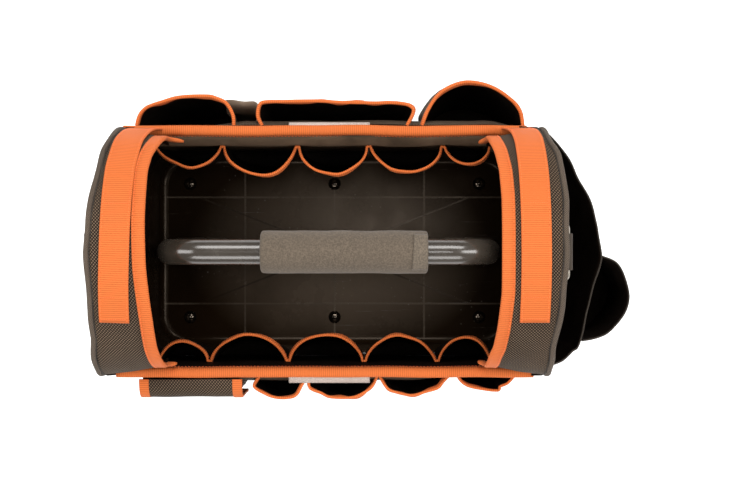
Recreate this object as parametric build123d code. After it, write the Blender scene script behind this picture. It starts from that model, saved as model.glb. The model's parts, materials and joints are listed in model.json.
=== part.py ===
from build123d import *
import math
import os

# Open-top electrician's tool bag: a moulded base tray, woven fabric walls with arched end hoods,
# a bent tube handle with a foam grip, and bound pockets inside and outside.
# +X runs along the bag, -Y is its front, +Z is up. The origin is the middle of the base, on the floor.
# All sizes are millimetres.

# base tray
TRAY_LENGTH, TRAY_WIDTH = 424, 232
TRAY_TOP = 76
TRAY_WALL = 3
TRAY_CORNER = 34
TRAY_DRAFT = 4
FLOOR_UNDERSIDE = 6
FLOOR_TOP = FLOOR_UNDERSIDE + TRAY_WALL
FLOOR_LINE_X, FLOOR_LINE_Y = 106, 63
FLOOR_LINE_WIDTH, FLOOR_LINE_HEIGHT = 2.2, 0.7
SKID_RIB_WIDTH = 7

# feet and their rivets
FOOT_COLUMNS, FOOT_ROWS = (-171, 0, 171), (-79, 79)
FOOT_RADIUS = 15
RIVET_HEAD_RADIUS, RIVET_HEAD_HEIGHT = 7.3, 4.2
RIVET_SHANK_RADIUS = 2.5
RIVET_TAIL_RADIUS = 5
COUNTERBORE_RADIUS, COUNTERBORE_DEPTH = 6.5, 2.6

# fabric walls
WALL_BOTTOM, RIM_SEAM, RIM_TOP = 42, 205, 217
PANEL_INNER_Y, PANEL_OUTER_Y = 121.5, 128.5
PANEL_LENGTH = 430
REAR_LINING_Y, FRONT_LINING_Y = 112, 117
LINING_BOTTOM = 80
LINING_LENGTH = 400
END_INNER_X, END_OUTER_X = 217, 223
END_HALF_WIDTH = 119.4
RIM_TAPE_INNER_Y, RIM_TAPE_OUTER_Y = 119.7, 130.3
FRONT_RIM_X = (-221, 210)
REAR_RIM_X = (-214, 203)
LABEL_X = (-43, 41)

# arched hoods over both ends
ARCH_HALF_WIDTH, ARCH_RISE = 128, 110
HOOD_SKIN = 3
HOOD_OUTER_X = 225
HOOD_EDGE_X, HOOD_EDGE_BOW = 169.5, 17
HOOD_TAPE_WIDTH, HOOD_TAPE_THICKNESS = 12.5, 5
STRAP_X, STRAP_WIDTH, STRAP_THICKNESS = 201, 29, 1.6
STRAP_HALF_WIDTH = 131
STRAP_FRONT_END_Y = -70
STRAP_REAR_END_Z = 206.5
PIPING_RADIUS = 2.4
PIPING_X = HOOD_OUTER_X + PIPING_RADIUS

# handle
TUBE_RADIUS, TUBE_WALL = 12.5, 1.5
TUBE_AXIS_Z, TUBE_LEG_X, TUBE_BEND = 305, 158, 38
GRIP_RADIUS, GRIP_LENGTH, GRIP_CENTRE_X = 21, 161, 16
SOCKET_RADIUS, SOCKET_HEIGHT = 15.5, 26
SOCKET_PLATE = (66, 30, 3)
SOCKET_SCREW_SPACING = 50

# end tabs and rings
TAB_HALF_WIDTH, TAB_TOP = 18, 292
RING_AXIS_X, RING_AXIS_Z = 234.5, 284
RING_WIRE = 2.5
RING_HALF_WIDTH, RING_DEPTH = 25, 34
RING_CLEARANCE = 0.4

# pockets
POCKET_SKIN = 2
POCKET_BACK_Y = 129.4
TAPE_HEIGHT, TAPE_THICKNESS = 6, 3
INNER_POCKET_BOTTOM, INNER_POCKET_TOP = 96, 188
REAR_SEAMS = (-186, -114, -35, 40, 118, 169)
REAR_BULGES = (24, 33, 31, 29, 21)
FRONT_SEAMS = (-183, -128, -45, 35, 112, 170)
FRONT_BULGES = (23, 30, 30, 28.5, 27.5)
SEAM_WIDTH = 5
REAR_POCKETS = {
    "rear_left_pocket": (-202, -98, 162.5, 26),
    "rear_centre_pocket": (-76, 88, 158, 8),
    "rear_right_pocket": (93, 202, 176, 42),
}
REAR_POCKET_BOTTOM, REAR_POCKET_TOP = 64, 205
PEN_SLEEVE = (-96.5, -77.5, 156, 6)
PEN_SLEEVE_TOP = 192
FRONT_POCKETS = {
    "front_pocket_1": (-80, -28, 153, 15),
    "front_pocket_2": (-23, 49, 153, 14),
    "front_pocket_3": (51, 123.5, 150, 14),
    "front_pocket_4": (131, 191.5, 144.5, 9),
}
FRONT_POCKET_BOTTOM, FRONT_POCKET_TOP = 100, 205
END_POCKET_BOTTOM, END_POCKET_TOP = 84, 202
SMALL_POCKET_BOTTOM, SMALL_POCKET_TOP = 96, 190

# flap pocket
FLAP_POCKET = (-196, -93, 149, 8)
FLAP_POCKET_BOTTOM, FLAP_POCKET_TOP = 92, 196
FLAP_X = (-198, -91)
FLAP_SKIN = 2
FLAP_HINGE_Y, FLAP_HINGE_Z = -132.2, 212
FLAP_FRONT_Y, FLAP_BEND_Z, FLAP_BOTTOM_Z = -154, 192, 134
FLAP_TAPE_WIDTH = 10.5
HOOK_STRIP = (60, 24, 1.2)
HOOK_STRIP_Z = 152


def box(x, y, z):
    """A box between two corners given as (low, high) pairs."""
    centre = [(low + high) / 2 for low, high in (x, y, z)]
    return Pos(*centre) * Box(x[1] - x[0], y[1] - y[0], z[1] - z[0])


def at_both_ends(shape):
    """A shape made at the +X end, and its mirror image at the -X end."""
    return {"right": shape, "left": mirror(shape, about=Plane.YZ)}


def tray_block(shrink, z_low, z_high):
    """The tray's outline with its sides leaning outwards, smaller all round by shrink."""
    span = TRAY_TOP - FLOOR_UNDERSIDE
    sections = []
    for z in (z_low, z_high):
        lean = 2 * TRAY_DRAFT * (z - TRAY_TOP) / span - 2 * shrink
        size = (TRAY_LENGTH + lean, TRAY_WIDTH + lean)
        sections.append(Pos(0, 0, z) * RectangleRounded(*size, TRAY_CORNER - shrink))
    return loft(sections)


def floor_line(start, end):
    """A thin raised line moulded on the tray's floor."""
    length = math.dist(start, end)
    angle = math.degrees(math.atan2(end[1] - start[1], end[0] - start[0]))
    middle = Pos((start[0] + end[0]) / 2, (start[1] + end[1]) / 2, FLOOR_TOP)
    return middle * Rot(0, 0, angle) * Box(length, FLOOR_LINE_WIDTH, 2 * FLOOR_LINE_HEIGHT)


def base_tray():
    outer = tray_block(0, FLOOR_UNDERSIDE, TRAY_TOP)
    outer = fillet(outer.faces().sort_by(Axis.Z)[0].edges(), 9)
    inner = tray_block(TRAY_WALL, FLOOR_TOP, TRAY_TOP + 1)
    inner = fillet(inner.faces().sort_by(Axis.Z)[0].edges(), 9)
    tray = outer - inner
    corners = [(x, y) for x in (-160, 160) for y in (-FLOOR_LINE_Y, FLOOR_LINE_Y)]
    lines = [floor_line((0, 0), corner) for corner in corners]
    lines += [floor_line((-160, y), (160, y)) for y in (-FLOOR_LINE_Y, FLOOR_LINE_Y)]
    lines += [floor_line((x, -90), (x, 90)) for x in (-FLOOR_LINE_X, FLOOR_LINE_X)]
    lines.append(floor_line((0, -68), (0, 68)))
    for line in lines:
        tray += line
    tray += box((-150, 150), (-SKID_RIB_WIDTH / 2, SKID_RIB_WIDTH / 2), (0, FLOOR_UNDERSIDE + 1))
    for x in (-FLOOR_LINE_X, 0, FLOOR_LINE_X):
        rib_x = (x - SKID_RIB_WIDTH / 2, x + SKID_RIB_WIDTH / 2)
        tray += box(rib_x, (-56, 56), (0, FLOOR_UNDERSIDE + 1))
    for x in FOOT_COLUMNS:
        for y in FOOT_ROWS:
            tray -= Pos(x, y, FLOOR_UNDERSIDE) * Cylinder(RIVET_SHANK_RADIUS + 0.1, 20)
    for side in (-1, 1):
        for offset_x in (-SOCKET_SCREW_SPACING / 2, SOCKET_SCREW_SPACING / 2):
            hole_x = side * TUBE_LEG_X + offset_x
            tray -= Pos(hole_x, 0, FLOOR_TOP) * Cylinder(1.6, 14)
    return tray


def foot():
    disc = Pos(0, 0, FLOOR_UNDERSIDE / 2) * Cylinder(FOOT_RADIUS, FLOOR_UNDERSIDE)
    disc = chamfer(disc.edges().sort_by(Axis.Z)[0], 1.2)
    disc -= Cylinder(RIVET_SHANK_RADIUS + 0.1, 20)
    return disc - Cylinder(COUNTERBORE_RADIUS, 2 * COUNTERBORE_DEPTH)


def foot_rivet():
    cap_radius = (RIVET_HEAD_RADIUS**2 + RIVET_HEAD_HEIGHT**2) / (2 * RIVET_HEAD_HEIGHT)
    dome = Pos(0, 0, FLOOR_TOP + RIVET_HEAD_HEIGHT - cap_radius) * Sphere(cap_radius)
    dome &= Pos(0, 0, FLOOR_TOP + 5) * Box(40, 40, 10)
    shank = box((-3, 3), (-3, 3), (1.2, FLOOR_TOP + 0.5))
    shank &= Cylinder(RIVET_SHANK_RADIUS, 40)
    tail_height = COUNTERBORE_DEPTH - 1.2
    tail = Pos(0, 0, 1.2 + tail_height / 2) * Cylinder(RIVET_TAIL_RADIUS, tail_height)
    return dome + shank + tail


def copies_at_feet(shape):
    return Compound([Pos(x, y, 0) * shape for x in FOOT_COLUMNS for y in FOOT_ROWS])


def arch_face(half_width, rise, base_z=RIM_TOP, wall_bottom=None):
    """The area under an arch, in the YZ plane, from base_z up, or from wall_bottom with upright sides."""
    spring_z = RIM_TOP - 2
    area = Pos(0, spring_z) * Ellipse(half_width, rise)
    area &= Pos(0, base_z + 500) * Rectangle(1000, 1000)
    if wall_bottom is not None:
        height = base_z - wall_bottom
        area += Pos(0, wall_bottom + height / 2) * Rectangle(2 * half_width, height)
    return Plane.YZ * area


def arch_band(outer, inner, x_low, x_high, base_z=RIM_TOP):
    """A curved band over the bag between two arches, each (half_width, rise)."""
    ring = arch_face(*outer, base_z) - arch_face(*inner, base_z)
    return Pos(x_low, 0, 0) * extrude(ring, x_high - x_low, dir=(1, 0, 0))


def hood_edge_cutter(extra):
    """The upright cylinder that gives the hood's open edge its bow, grown by extra."""
    chord = 2 * ARCH_HALF_WIDTH
    radius = (chord**2 / 4 + HOOD_EDGE_BOW**2) / (2 * HOOD_EDGE_BOW)
    centre_x = HOOD_EDGE_X - radius
    return Pos(centre_x, 0, RIM_TOP) * Cylinder(radius + extra, 400)


def hood():
    outer = (ARCH_HALF_WIDTH, ARCH_RISE)
    inner = (ARCH_HALF_WIDTH - HOOD_SKIN, ARCH_RISE - HOOD_SKIN)
    band = arch_band(outer, inner, HOOD_EDGE_X - 30, HOOD_OUTER_X)
    return band - hood_edge_cutter(HOOD_TAPE_WIDTH)


def hood_tape():
    proud = (HOOD_TAPE_THICKNESS - HOOD_SKIN) / 2
    outer = (ARCH_HALF_WIDTH + proud, ARCH_RISE + proud)
    inner = (outer[0] - HOOD_TAPE_THICKNESS, outer[1] - HOOD_TAPE_THICKNESS)
    band = arch_band(outer, inner, HOOD_EDGE_X - 30, HOOD_EDGE_X + 30)
    return (band & hood_edge_cutter(HOOD_TAPE_WIDTH)) - hood_edge_cutter(0)


def strap():
    inner = (STRAP_HALF_WIDTH, ARCH_RISE + 0.4)
    outer = (STRAP_HALF_WIDTH + STRAP_THICKNESS, ARCH_RISE + 0.4 + STRAP_THICKNESS)
    x_range = (STRAP_X - STRAP_WIDTH / 2, STRAP_X + STRAP_WIDTH / 2)
    band = arch_band(outer, inner, *x_range)
    band &= box((0, 400), (STRAP_FRONT_END_Y, 400), (0, 500))
    end = box(x_range, (inner[0], outer[0]), (STRAP_REAR_END_Z, RIM_TOP))
    return band + end


def piping():
    """A cord sewn along the seam between the hood and the end panel, and down both upright corners."""
    half_width, rise = ARCH_HALF_WIDTH - 2.5, ARCH_RISE - 2.5
    spring_z = RIM_TOP - 2
    ellipse = EllipticalCenterArc((0, spring_z), half_width, rise, start_angle=0, arc_size=180)
    left = Line((-half_width, TRAY_TOP), (-half_width, spring_z))
    right = Line((half_width, spring_z), (half_width, TRAY_TOP))
    path = Plane(origin=(PIPING_X, 0, 0), x_dir=(0, 1, 0), z_dir=(1, 0, 0)) * Curve([left, ellipse, right])
    section = Plane(origin=(PIPING_X, -half_width, TRAY_TOP), z_dir=(0, 0, 1)) * Circle(PIPING_RADIUS)
    return sweep(section, path=Wire(path.edges()))


def end_panel():
    profile = arch_face(END_HALF_WIDTH, ARCH_RISE - HOOD_SKIN - 0.5, RIM_TOP - 2, WALL_BOTTOM)
    return Pos(END_INNER_X, 0, 0) * extrude(profile, END_OUTER_X - END_INNER_X, dir=(1, 0, 0))


def side_panel(side):
    y = sorted((side * PANEL_INNER_Y, side * PANEL_OUTER_Y))
    return box((-PANEL_LENGTH / 2, PANEL_LENGTH / 2), y, (WALL_BOTTOM, RIM_SEAM))


def lining(side, inner_y):
    y = sorted((side * inner_y, side * (PANEL_INNER_Y - 0.2)))
    return box((-LINING_LENGTH / 2, LINING_LENGTH / 2), y, (LINING_BOTTOM, RIM_SEAM - 1))


def rim_tape(side, x_range):
    y = sorted((side * RIM_TAPE_INNER_Y, side * RIM_TAPE_OUTER_Y))
    tape = box(x_range, y, (RIM_SEAM, RIM_TOP))
    return fillet(tape.edges().filter_by(Axis.X).group_by(Axis.Z)[-1], 3)


def label(side):
    """A blank tag sewn under the rim tape, leaning out over the pocket mouths."""
    tag = Pos(sum(LABEL_X) / 2, 0, 0) * Box(LABEL_X[1] - LABEL_X[0], 8, 1)
    return Pos(0, side * 135.2, 208.5) * Rot(-side * 30, 0, 0) * tag


def tube_path():
    points = [
        (-TUBE_LEG_X, 0, FLOOR_TOP + SOCKET_PLATE[2] + 1),
        (-TUBE_LEG_X, 0, TUBE_AXIS_Z),
        (TUBE_LEG_X, 0, TUBE_AXIS_Z),
        (TUBE_LEG_X, 0, FLOOR_TOP + SOCKET_PLATE[2] + 1),
    ]
    return points, FilletPolyline(*points, radius=TUBE_BEND)


def handle_tube():
    points, path = tube_path()
    section = Plane(origin=points[0], z_dir=(0, 0, 1)) * Circle(TUBE_RADIUS)
    bore = Plane(origin=points[0], z_dir=(0, 0, 1)) * Circle(TUBE_RADIUS - TUBE_WALL)
    return sweep(section, path=path) - sweep(bore, path=path)


def foam_grip():
    grip = Rot(0, 90, 0) * Cylinder(GRIP_RADIUS, GRIP_LENGTH)
    grip = fillet(grip.edges(), 2.5)
    grip -= Rot(0, 90, 0) * Cylinder(TUBE_RADIUS, GRIP_LENGTH + 10)
    return Pos(GRIP_CENTRE_X, 0, TUBE_AXIS_Z) * grip


def leg_socket():
    """A moulded cup on a plate that holds the foot of a handle leg to the tray's floor."""
    plate_z = FLOOR_TOP
    plate = Pos(0, 0, plate_z + SOCKET_PLATE[2] / 2) * Box(*SOCKET_PLATE)
    plate = fillet(plate.edges().filter_by(Axis.Z), 8)
    cup = Pos(0, 0, plate_z + SOCKET_HEIGHT / 2) * Cylinder(SOCKET_RADIUS, SOCKET_HEIGHT)
    bore_low = FLOOR_TOP + SOCKET_PLATE[2] + 1
    bore = Pos(0, 0, bore_low + SOCKET_HEIGHT / 2) * Cylinder(TUBE_RADIUS, SOCKET_HEIGHT)
    socket = plate + cup - bore
    for offset_x in (-SOCKET_SCREW_SPACING / 2, SOCKET_SCREW_SPACING / 2):
        socket -= Pos(offset_x, 0, plate_z) * Cylinder(1.6, 20)
    return socket


def socket_screw():
    head_z = FLOOR_TOP + SOCKET_PLATE[2]
    head = Pos(0, 0, head_z + 1) * Cylinder(3.2, 2)
    head = fillet(head.edges().sort_by(Axis.Z)[-1], 0.9)
    shank_length = head_z - FLOOR_UNDERSIDE
    return head + Pos(0, 0, FLOOR_UNDERSIDE + shank_length / 2) * Cylinder(1.5, shank_length)


def ring_tab():
    """Webbing folded round the ring's bar and sewn to the end panel."""
    loop_depth = RING_AXIS_X + 6.5 - END_OUTER_X - 0.3
    loop = Pos(END_OUTER_X + 0.3 + loop_depth / 2, 0, RING_AXIS_Z) * Box(loop_depth, 2 * TAB_HALF_WIDTH, 13)
    loop = fillet(loop.edges().filter_by(Axis.Y).group_by(Axis.X)[-1], 6)
    y = (-TAB_HALF_WIDTH, TAB_HALF_WIDTH)
    patch = box((END_OUTER_X + 0.3, END_OUTER_X + 2.6), y, (232, TAB_TOP + 8))
    bar_hole = Pos(RING_AXIS_X, 0, RING_AXIS_Z) * Rot(90, 0, 0)
    return loop + patch - bar_hole * Cylinder(RING_WIRE + RING_CLEARANCE, 100)


def ring():
    top_left, top_right = (-RING_HALF_WIDTH, 0), (RING_HALF_WIDTH, 0)
    low_left, low_right = (-RING_HALF_WIDTH, -12), (RING_HALF_WIDTH, -12)
    edges = [
        Line(low_left, top_left),
        Line(top_left, top_right),
        Line(top_right, low_right),
        ThreePointArc(low_right, (0, -RING_DEPTH), low_left),
    ]
    area = make_face(edges)
    area = fillet(area.vertices().group_by(Axis.Y)[-1], 5)
    area = fillet(area.vertices().group_by(Axis.Y)[0], 8)
    place = Plane(origin=(RING_AXIS_X, 0, RING_AXIS_Z), x_dir=(0, 1, 0), z_dir=(1, 0, 0))
    path = (place * area).face().outer_wire()
    section = Plane(origin=path @ 0.01, z_dir=path % 0.01) * Circle(RING_WIRE)
    return sweep(section, path=path)


def pocket_area(x_low, x_high, y_front, corner, side):
    """The plan outline of a pocket on an outer wall, rounded at its two outer corners."""
    width, depth = x_high - x_low, y_front - POCKET_BACK_Y
    area = Pos(x_low + width / 2, side * (POCKET_BACK_Y + depth / 2)) * Rectangle(width, depth)
    outer_corners = area.vertices().sort_by(lambda v: side * v.Y)[-2:]
    return fillet(outer_corners, min(corner, depth - 1, width / 2 - 1))


def tub(area, z_low, z_high):
    """An open-topped pocket: walls all round a plan outline, and a bottom."""
    block = extrude(Pos(0, 0, z_low) * area, z_high - z_low, dir=(0, 0, 1))
    hollow_area = offset(area, -POCKET_SKIN, kind=Kind.INTERSECTION)
    hollow = extrude(Pos(0, 0, z_low + POCKET_SKIN) * hollow_area, z_high - z_low, dir=(0, 0, 1))
    return block - hollow


def tape_round(area, z_top, keep):
    """The binding on a pocket's mouth, along the part of its outline that lies in the box keep."""
    proud = (TAPE_THICKNESS - POCKET_SKIN) / 2
    ring_area = offset(area, proud) - offset(area, -POCKET_SKIN - proud, kind=Kind.INTERSECTION)
    ring_solid = extrude(Pos(0, 0, z_top - TAPE_HEIGHT) * ring_area, TAPE_HEIGHT, dir=(0, 0, 1))
    return ring_solid & keep


def outer_pocket(spec, side, z_low, z_high):
    """The pocket and its binding."""
    area = pocket_area(*spec, side)
    y = sorted((side * (POCKET_BACK_Y + POCKET_SKIN), side * 400))
    keep = box((-500, 500), y, (0, 500))
    return tub(area, z_low, z_high - TAPE_HEIGHT), tape_round(area, z_high, keep)


def scallop_area(x_low, x_high, wall_y, bulge):
    """The plan outline of one inner pocket: straight at the wall and bowed into the bag."""
    side = math.copysign(1, wall_y)
    start, end = (x_low + SEAM_WIDTH / 2, wall_y), (x_high - SEAM_WIDTH / 2, wall_y)
    peak = ((x_low + x_high) / 2, wall_y - side * bulge)
    return make_face([Line(start, end), ThreePointArc(end, peak, start)])


def inner_pockets(seams, bulges, wall_y):
    """The strip of scalloped pockets along one wall, and the binding along its mouths."""
    side = math.copysign(1, wall_y)
    y = sorted((wall_y, wall_y - side * POCKET_SKIN))
    strip = box((seams[0], seams[-1]), y, (INNER_POCKET_BOTTOM, INNER_POCKET_TOP - TAPE_HEIGHT))
    inside = sorted((wall_y - side * POCKET_SKIN, -side * 400))
    keep = box((-500, 500), inside, (0, 500))
    tapes = []
    for x_low, x_high, bulge in zip(seams[:-1], seams[1:], bulges):
        area = scallop_area(x_low, x_high, wall_y, bulge)
        strip += tub(area, INNER_POCKET_BOTTOM, INNER_POCKET_TOP - TAPE_HEIGHT)
        tapes.append(tape_round(area, INNER_POCKET_TOP, keep))
    return strip, Compound(tapes)


def end_pocket_area():
    """The big open pocket on the right end, deepest a little behind the middle."""
    back_x = END_OUTER_X + 0.5
    curve = ThreePointArc((back_x, 122), (265, 60), (283, 0))
    edges = [
        curve,
        Line((283, 0), (260, -96)),
        ThreePointArc((260, -96), (246, -114), (back_x, -121)),
        Line((back_x, -121), (back_x, 122)),
    ]
    return make_face(edges)


def small_pocket_area():
    """The small half-round pocket on the outside of the end pocket."""
    top, bottom = (284.4, -4), (262.6, -95)
    return make_face([Line(bottom, top), ThreePointArc(top, (315, -48), bottom)])


def end_pocket(area, z_low, z_high):
    keep = box((END_OUTER_X + 3, 400), (-300, 300), (0, 500))
    return tub(area, z_low, z_high - TAPE_HEIGHT), tape_round(area, z_high, keep)


def flap_profile(thickness):
    """The side view of the flap: out from its hinge over the pocket, then down the front."""
    top = Spline(
        (FLAP_HINGE_Y, FLAP_HINGE_Z),
        (FLAP_FRONT_Y + 4, FLAP_HINGE_Z - 7),
        (FLAP_FRONT_Y, FLAP_BEND_Z),
        tangents=[(-1, 0.1), (0, -1)],
    )
    down = Line((FLAP_FRONT_Y, FLAP_BEND_Z), (FLAP_FRONT_Y, FLAP_BOTTOM_Z))
    return Plane.YZ * trace(Curve([top, down]), line_width=thickness)


def flap():
    x_low, x_high = FLAP_X[0] + FLAP_TAPE_WIDTH, FLAP_X[1] - FLAP_TAPE_WIDTH
    return Pos(x_low, 0, 0) * extrude(flap_profile(FLAP_SKIN), x_high - x_low, dir=(1, 0, 0))


def flap_tapes():
    sides = []
    for x_low in (FLAP_X[0], FLAP_X[1] - FLAP_TAPE_WIDTH):
        sides.append(Pos(x_low, 0, 0) * extrude(flap_profile(FLAP_SKIN + 0.8), FLAP_TAPE_WIDTH, dir=(1, 0, 0)))
    return Compound(sides)


def fastener_strip(y_low):
    """One half of the touch fastener that holds the flap down."""
    middle_x = (FLAP_X[0] + FLAP_X[1]) / 2
    width, height, thickness = HOOK_STRIP
    x = (middle_x - width / 2, middle_x + width / 2)
    return box(x, (y_low, y_low + thickness), (HOOK_STRIP_Z - height / 2, HOOK_STRIP_Z + height / 2))


def make_parts():
    parts = {
        "base_tray": base_tray(),
        "feet": copies_at_feet(foot()),
        "foot_rivets": copies_at_feet(foot_rivet()),
        "front_panel": side_panel(-1),
        "rear_panel": side_panel(1),
        "front_lining": lining(-1, FRONT_LINING_Y),
        "rear_lining": lining(1, REAR_LINING_Y),
        "front_rim_tape": rim_tape(-1, FRONT_RIM_X),
        "rear_rim_tape": rim_tape(1, REAR_RIM_X),
        "front_label": label(-1),
        "rear_label": label(1),
        "handle_tube": handle_tube(),
        "foam_grip": foam_grip(),
        "flap": flap(),
        "flap_tapes": flap_tapes(),
        "flap_hook_strip": fastener_strip(FLAP_FRONT_Y + FLAP_SKIN / 2),
        "pocket_loop_strip": fastener_strip(-FLAP_POCKET[2] - HOOK_STRIP[2]),
    }
    for name, shape in at_both_ends(end_panel()).items():
        parts[f"{name}_end_panel"] = shape
    for name, shape in at_both_ends(hood()).items():
        parts[f"{name}_hood"] = shape
    for name, shape in at_both_ends(hood_tape()).items():
        parts[f"{name}_hood_tape"] = shape
    for name, shape in at_both_ends(strap()).items():
        parts[f"{name}_strap"] = shape
    for name, shape in at_both_ends(piping()).items():
        parts[f"{name}_piping"] = shape
    for name, shape in at_both_ends(ring_tab()).items():
        parts[f"{name}_ring_tab"] = shape
    for name, shape in at_both_ends(ring()).items():
        parts[f"{name}_ring"] = shape
    for name, side in (("left", -1), ("right", 1)):
        parts[f"{name}_leg_socket"] = Pos(side * TUBE_LEG_X, 0, 0) * leg_socket()
    screw_x = [s * TUBE_LEG_X + d * SOCKET_SCREW_SPACING / 2 for s in (-1, 1) for d in (-1, 1)]
    parts["socket_screws"] = Compound([Pos(x, 0, 0) * socket_screw() for x in screw_x])

    strip, tape = inner_pockets(REAR_SEAMS, REAR_BULGES, REAR_LINING_Y - 0.3)
    parts["rear_inner_pockets"], parts["rear_inner_pocket_tapes"] = strip, tape
    strip, tape = inner_pockets(FRONT_SEAMS, FRONT_BULGES, -FRONT_LINING_Y + 0.3)
    parts["front_inner_pockets"], parts["front_inner_pocket_tapes"] = strip, tape

    tapes = []
    for name, spec in REAR_POCKETS.items():
        parts[name], tape = outer_pocket(spec, 1, REAR_POCKET_BOTTOM, REAR_POCKET_TOP)
        tapes.append(tape)
    parts["rear_pocket_tapes"] = Compound(tapes)
    tapes = []
    for name, spec in FRONT_POCKETS.items():
        parts[name], tape = outer_pocket(spec, -1, FRONT_POCKET_BOTTOM, FRONT_POCKET_TOP)
        tapes.append(tape)
    parts["front_pocket_tapes"] = Compound(tapes)
    parts["pen_sleeve"] = tub(pocket_area(*PEN_SLEEVE, 1), REAR_POCKET_BOTTOM, PEN_SLEEVE_TOP)
    parts["flap_pocket"] = tub(pocket_area(*FLAP_POCKET, -1), FLAP_POCKET_BOTTOM, FLAP_POCKET_TOP)

    big, big_tape = end_pocket(end_pocket_area(), END_POCKET_BOTTOM, END_POCKET_TOP)
    parts["end_pocket"], parts["end_pocket_tape"] = big, big_tape
    small, small_tape = end_pocket(small_pocket_area(), SMALL_POCKET_BOTTOM, SMALL_POCKET_TOP)
    parts["small_end_pocket"], parts["small_end_pocket_tape"] = small, small_tape
    return parts


def main():
    os.makedirs("parts", exist_ok=True)
    for name, shape in make_parts().items():
        export_step(shape, f"parts/{name}.step")
        print(name)


main()
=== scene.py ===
import json
import math

import bmesh
import bpy
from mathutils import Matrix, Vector, noise


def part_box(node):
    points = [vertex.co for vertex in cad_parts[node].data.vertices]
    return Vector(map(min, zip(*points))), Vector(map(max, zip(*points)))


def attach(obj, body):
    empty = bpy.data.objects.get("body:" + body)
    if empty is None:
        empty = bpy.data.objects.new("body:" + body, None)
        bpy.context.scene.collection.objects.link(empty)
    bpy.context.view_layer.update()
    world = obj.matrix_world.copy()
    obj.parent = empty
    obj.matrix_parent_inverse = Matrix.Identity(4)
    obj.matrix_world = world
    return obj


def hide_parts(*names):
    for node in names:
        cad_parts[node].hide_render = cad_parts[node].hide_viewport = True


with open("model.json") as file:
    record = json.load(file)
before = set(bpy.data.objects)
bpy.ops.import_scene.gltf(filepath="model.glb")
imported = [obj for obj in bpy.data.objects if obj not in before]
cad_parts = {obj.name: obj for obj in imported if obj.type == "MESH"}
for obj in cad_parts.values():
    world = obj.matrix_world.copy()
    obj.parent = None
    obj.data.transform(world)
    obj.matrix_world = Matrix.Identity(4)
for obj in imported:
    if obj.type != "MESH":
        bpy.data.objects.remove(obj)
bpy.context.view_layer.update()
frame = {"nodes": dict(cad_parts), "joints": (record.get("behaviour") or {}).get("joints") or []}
JOINTS = {joint["name"]: joint for joint in frame["joints"]}

MM = 0.001
BAG = "bag"


# ---------------------------------------------------------------- sizes, read from the frame

def node_box(node):
    """A node's lowest and highest corners, in millimetres."""
    low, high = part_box(node)
    return Vector(low) / MM, Vector(high) / MM


TRAY_HIGH = node_box("base_tray")[1]
RIM_LOW, RIM_HIGH = node_box("front_rim_tape")
PANEL_LOW, PANEL_HIGH = node_box("rear_panel")
HOOD_HIGH = node_box("right_hood")[1]
STRAP_LOW, STRAP_HIGH = node_box("right_strap")
PIPING_LOW, PIPING_HIGH = node_box("right_piping")
GRIP_LOW, GRIP_HIGH = node_box("foam_grip")

WALL_Y = PANEL_HIGH.y
WALL_BOTTOM = PANEL_LOW.z
RIM_Z = RIM_HIGH.z
ARCH_HALF_WIDTH = HOOD_HIGH.y + 0.02
# The arch of each hood springs from here, just under the rims.
SPRING_Z = RIM_Z - 2
ARCH_RISE = HOOD_HIGH.z - SPRING_Z
SEAM_X = HOOD_HIGH.x
# Where the open edge of each hood is, by how far back it is: left end -1, right end 1.
HOOD_EDGES = {
    -1: [(-118, 163), (-110, 164.5), (-95, 167), (-66, 168.4), (-43, 170.2), (-15, 172.5), (30, 174),
         (80, 174.2), (95, 172), (107, 167), (118, 163)],
    1: [(-118, 156), (-103, 158), (-94, 161), (-76, 163.6), (-40, 166.6), (0, 166.4), (53, 166.8),
        (80, 165.8), (99, 162.8), (110, 159.5), (118, 158)]}
# Tips of the tape tongues, by (end, front -1 or rear 1): how far along and how far back.
TONGUE_TIPS = {(-1, -1): (156, -115), (-1, 1): (149.5, 113), (1, -1): (150.5, -113), (1, 1): (151.5, 111.5)}
# The middle of each strap, by its angle round the arch from the front.
STRAP_LINES = {
    -1: [(50, 205.8), (90, 202.5), (130, 201), (150, 197.5), (165, 193), (180, 187)],
    1: [(50, 199.3), (130, 199), (150, 198), (165, 195.5), (180, 191)]}
# How far each end seam stands out of true, by how far back it is.
SEAM_SHIFTS = {
    -1: [(-125, 6.5), (-104, 4.5), (-84, 1.5), (-55, 0.5), (0, 2.5), (35, 1.5), (69, -3), (100, -6.5),
         (116, -10), (126, -13)],
    1: [(-122, -5), (-96, -7), (-76, -4.5), (-49, -1.5), (0, 1), (50, 1.5), (78, 0.5), (96, -2),
        (108, -7), (124, -10)]}
# Mouths of the outer pockets, (along, distance from the middle).
REAR_LEFT_MOUTH = [(-202, 131), (-198.6, 142), (-190.8, 149.7), (-175, 156.2), (-156.6, 160.5), (-129.5, 162),
                   (-118.2, 159.5), (-108.2, 154), (-101.5, 142), (-100.5, 131)]
REAR_SLEEVE_MOUTH = [(-100, 130), (-102.5, 143), (-107, 152.5), (-110, 158), (-103, 158.5), (-92, 157),
                     (-80, 157), (-76.5, 152), (-76.5, 141), (-79, 130)]
REAR_CENTRE_MOUTH = [(-71, 131), (-75.5, 140), (-74.5, 151), (-69, 155.5), (-50, 156), (-19.7, 156.6),
                     (33, 154.6), (71.5, 154.3), (84, 150.5), (86, 144), (79.5, 131)]
REAR_RIGHT_MOUTH = [(95.5, 131), (101.2, 146), (110.7, 161.5), (122.4, 171), (139.4, 176.5), (156.3, 175),
                    (175.4, 167), (190.3, 155.4), (197.7, 144), (200, 131)]
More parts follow.
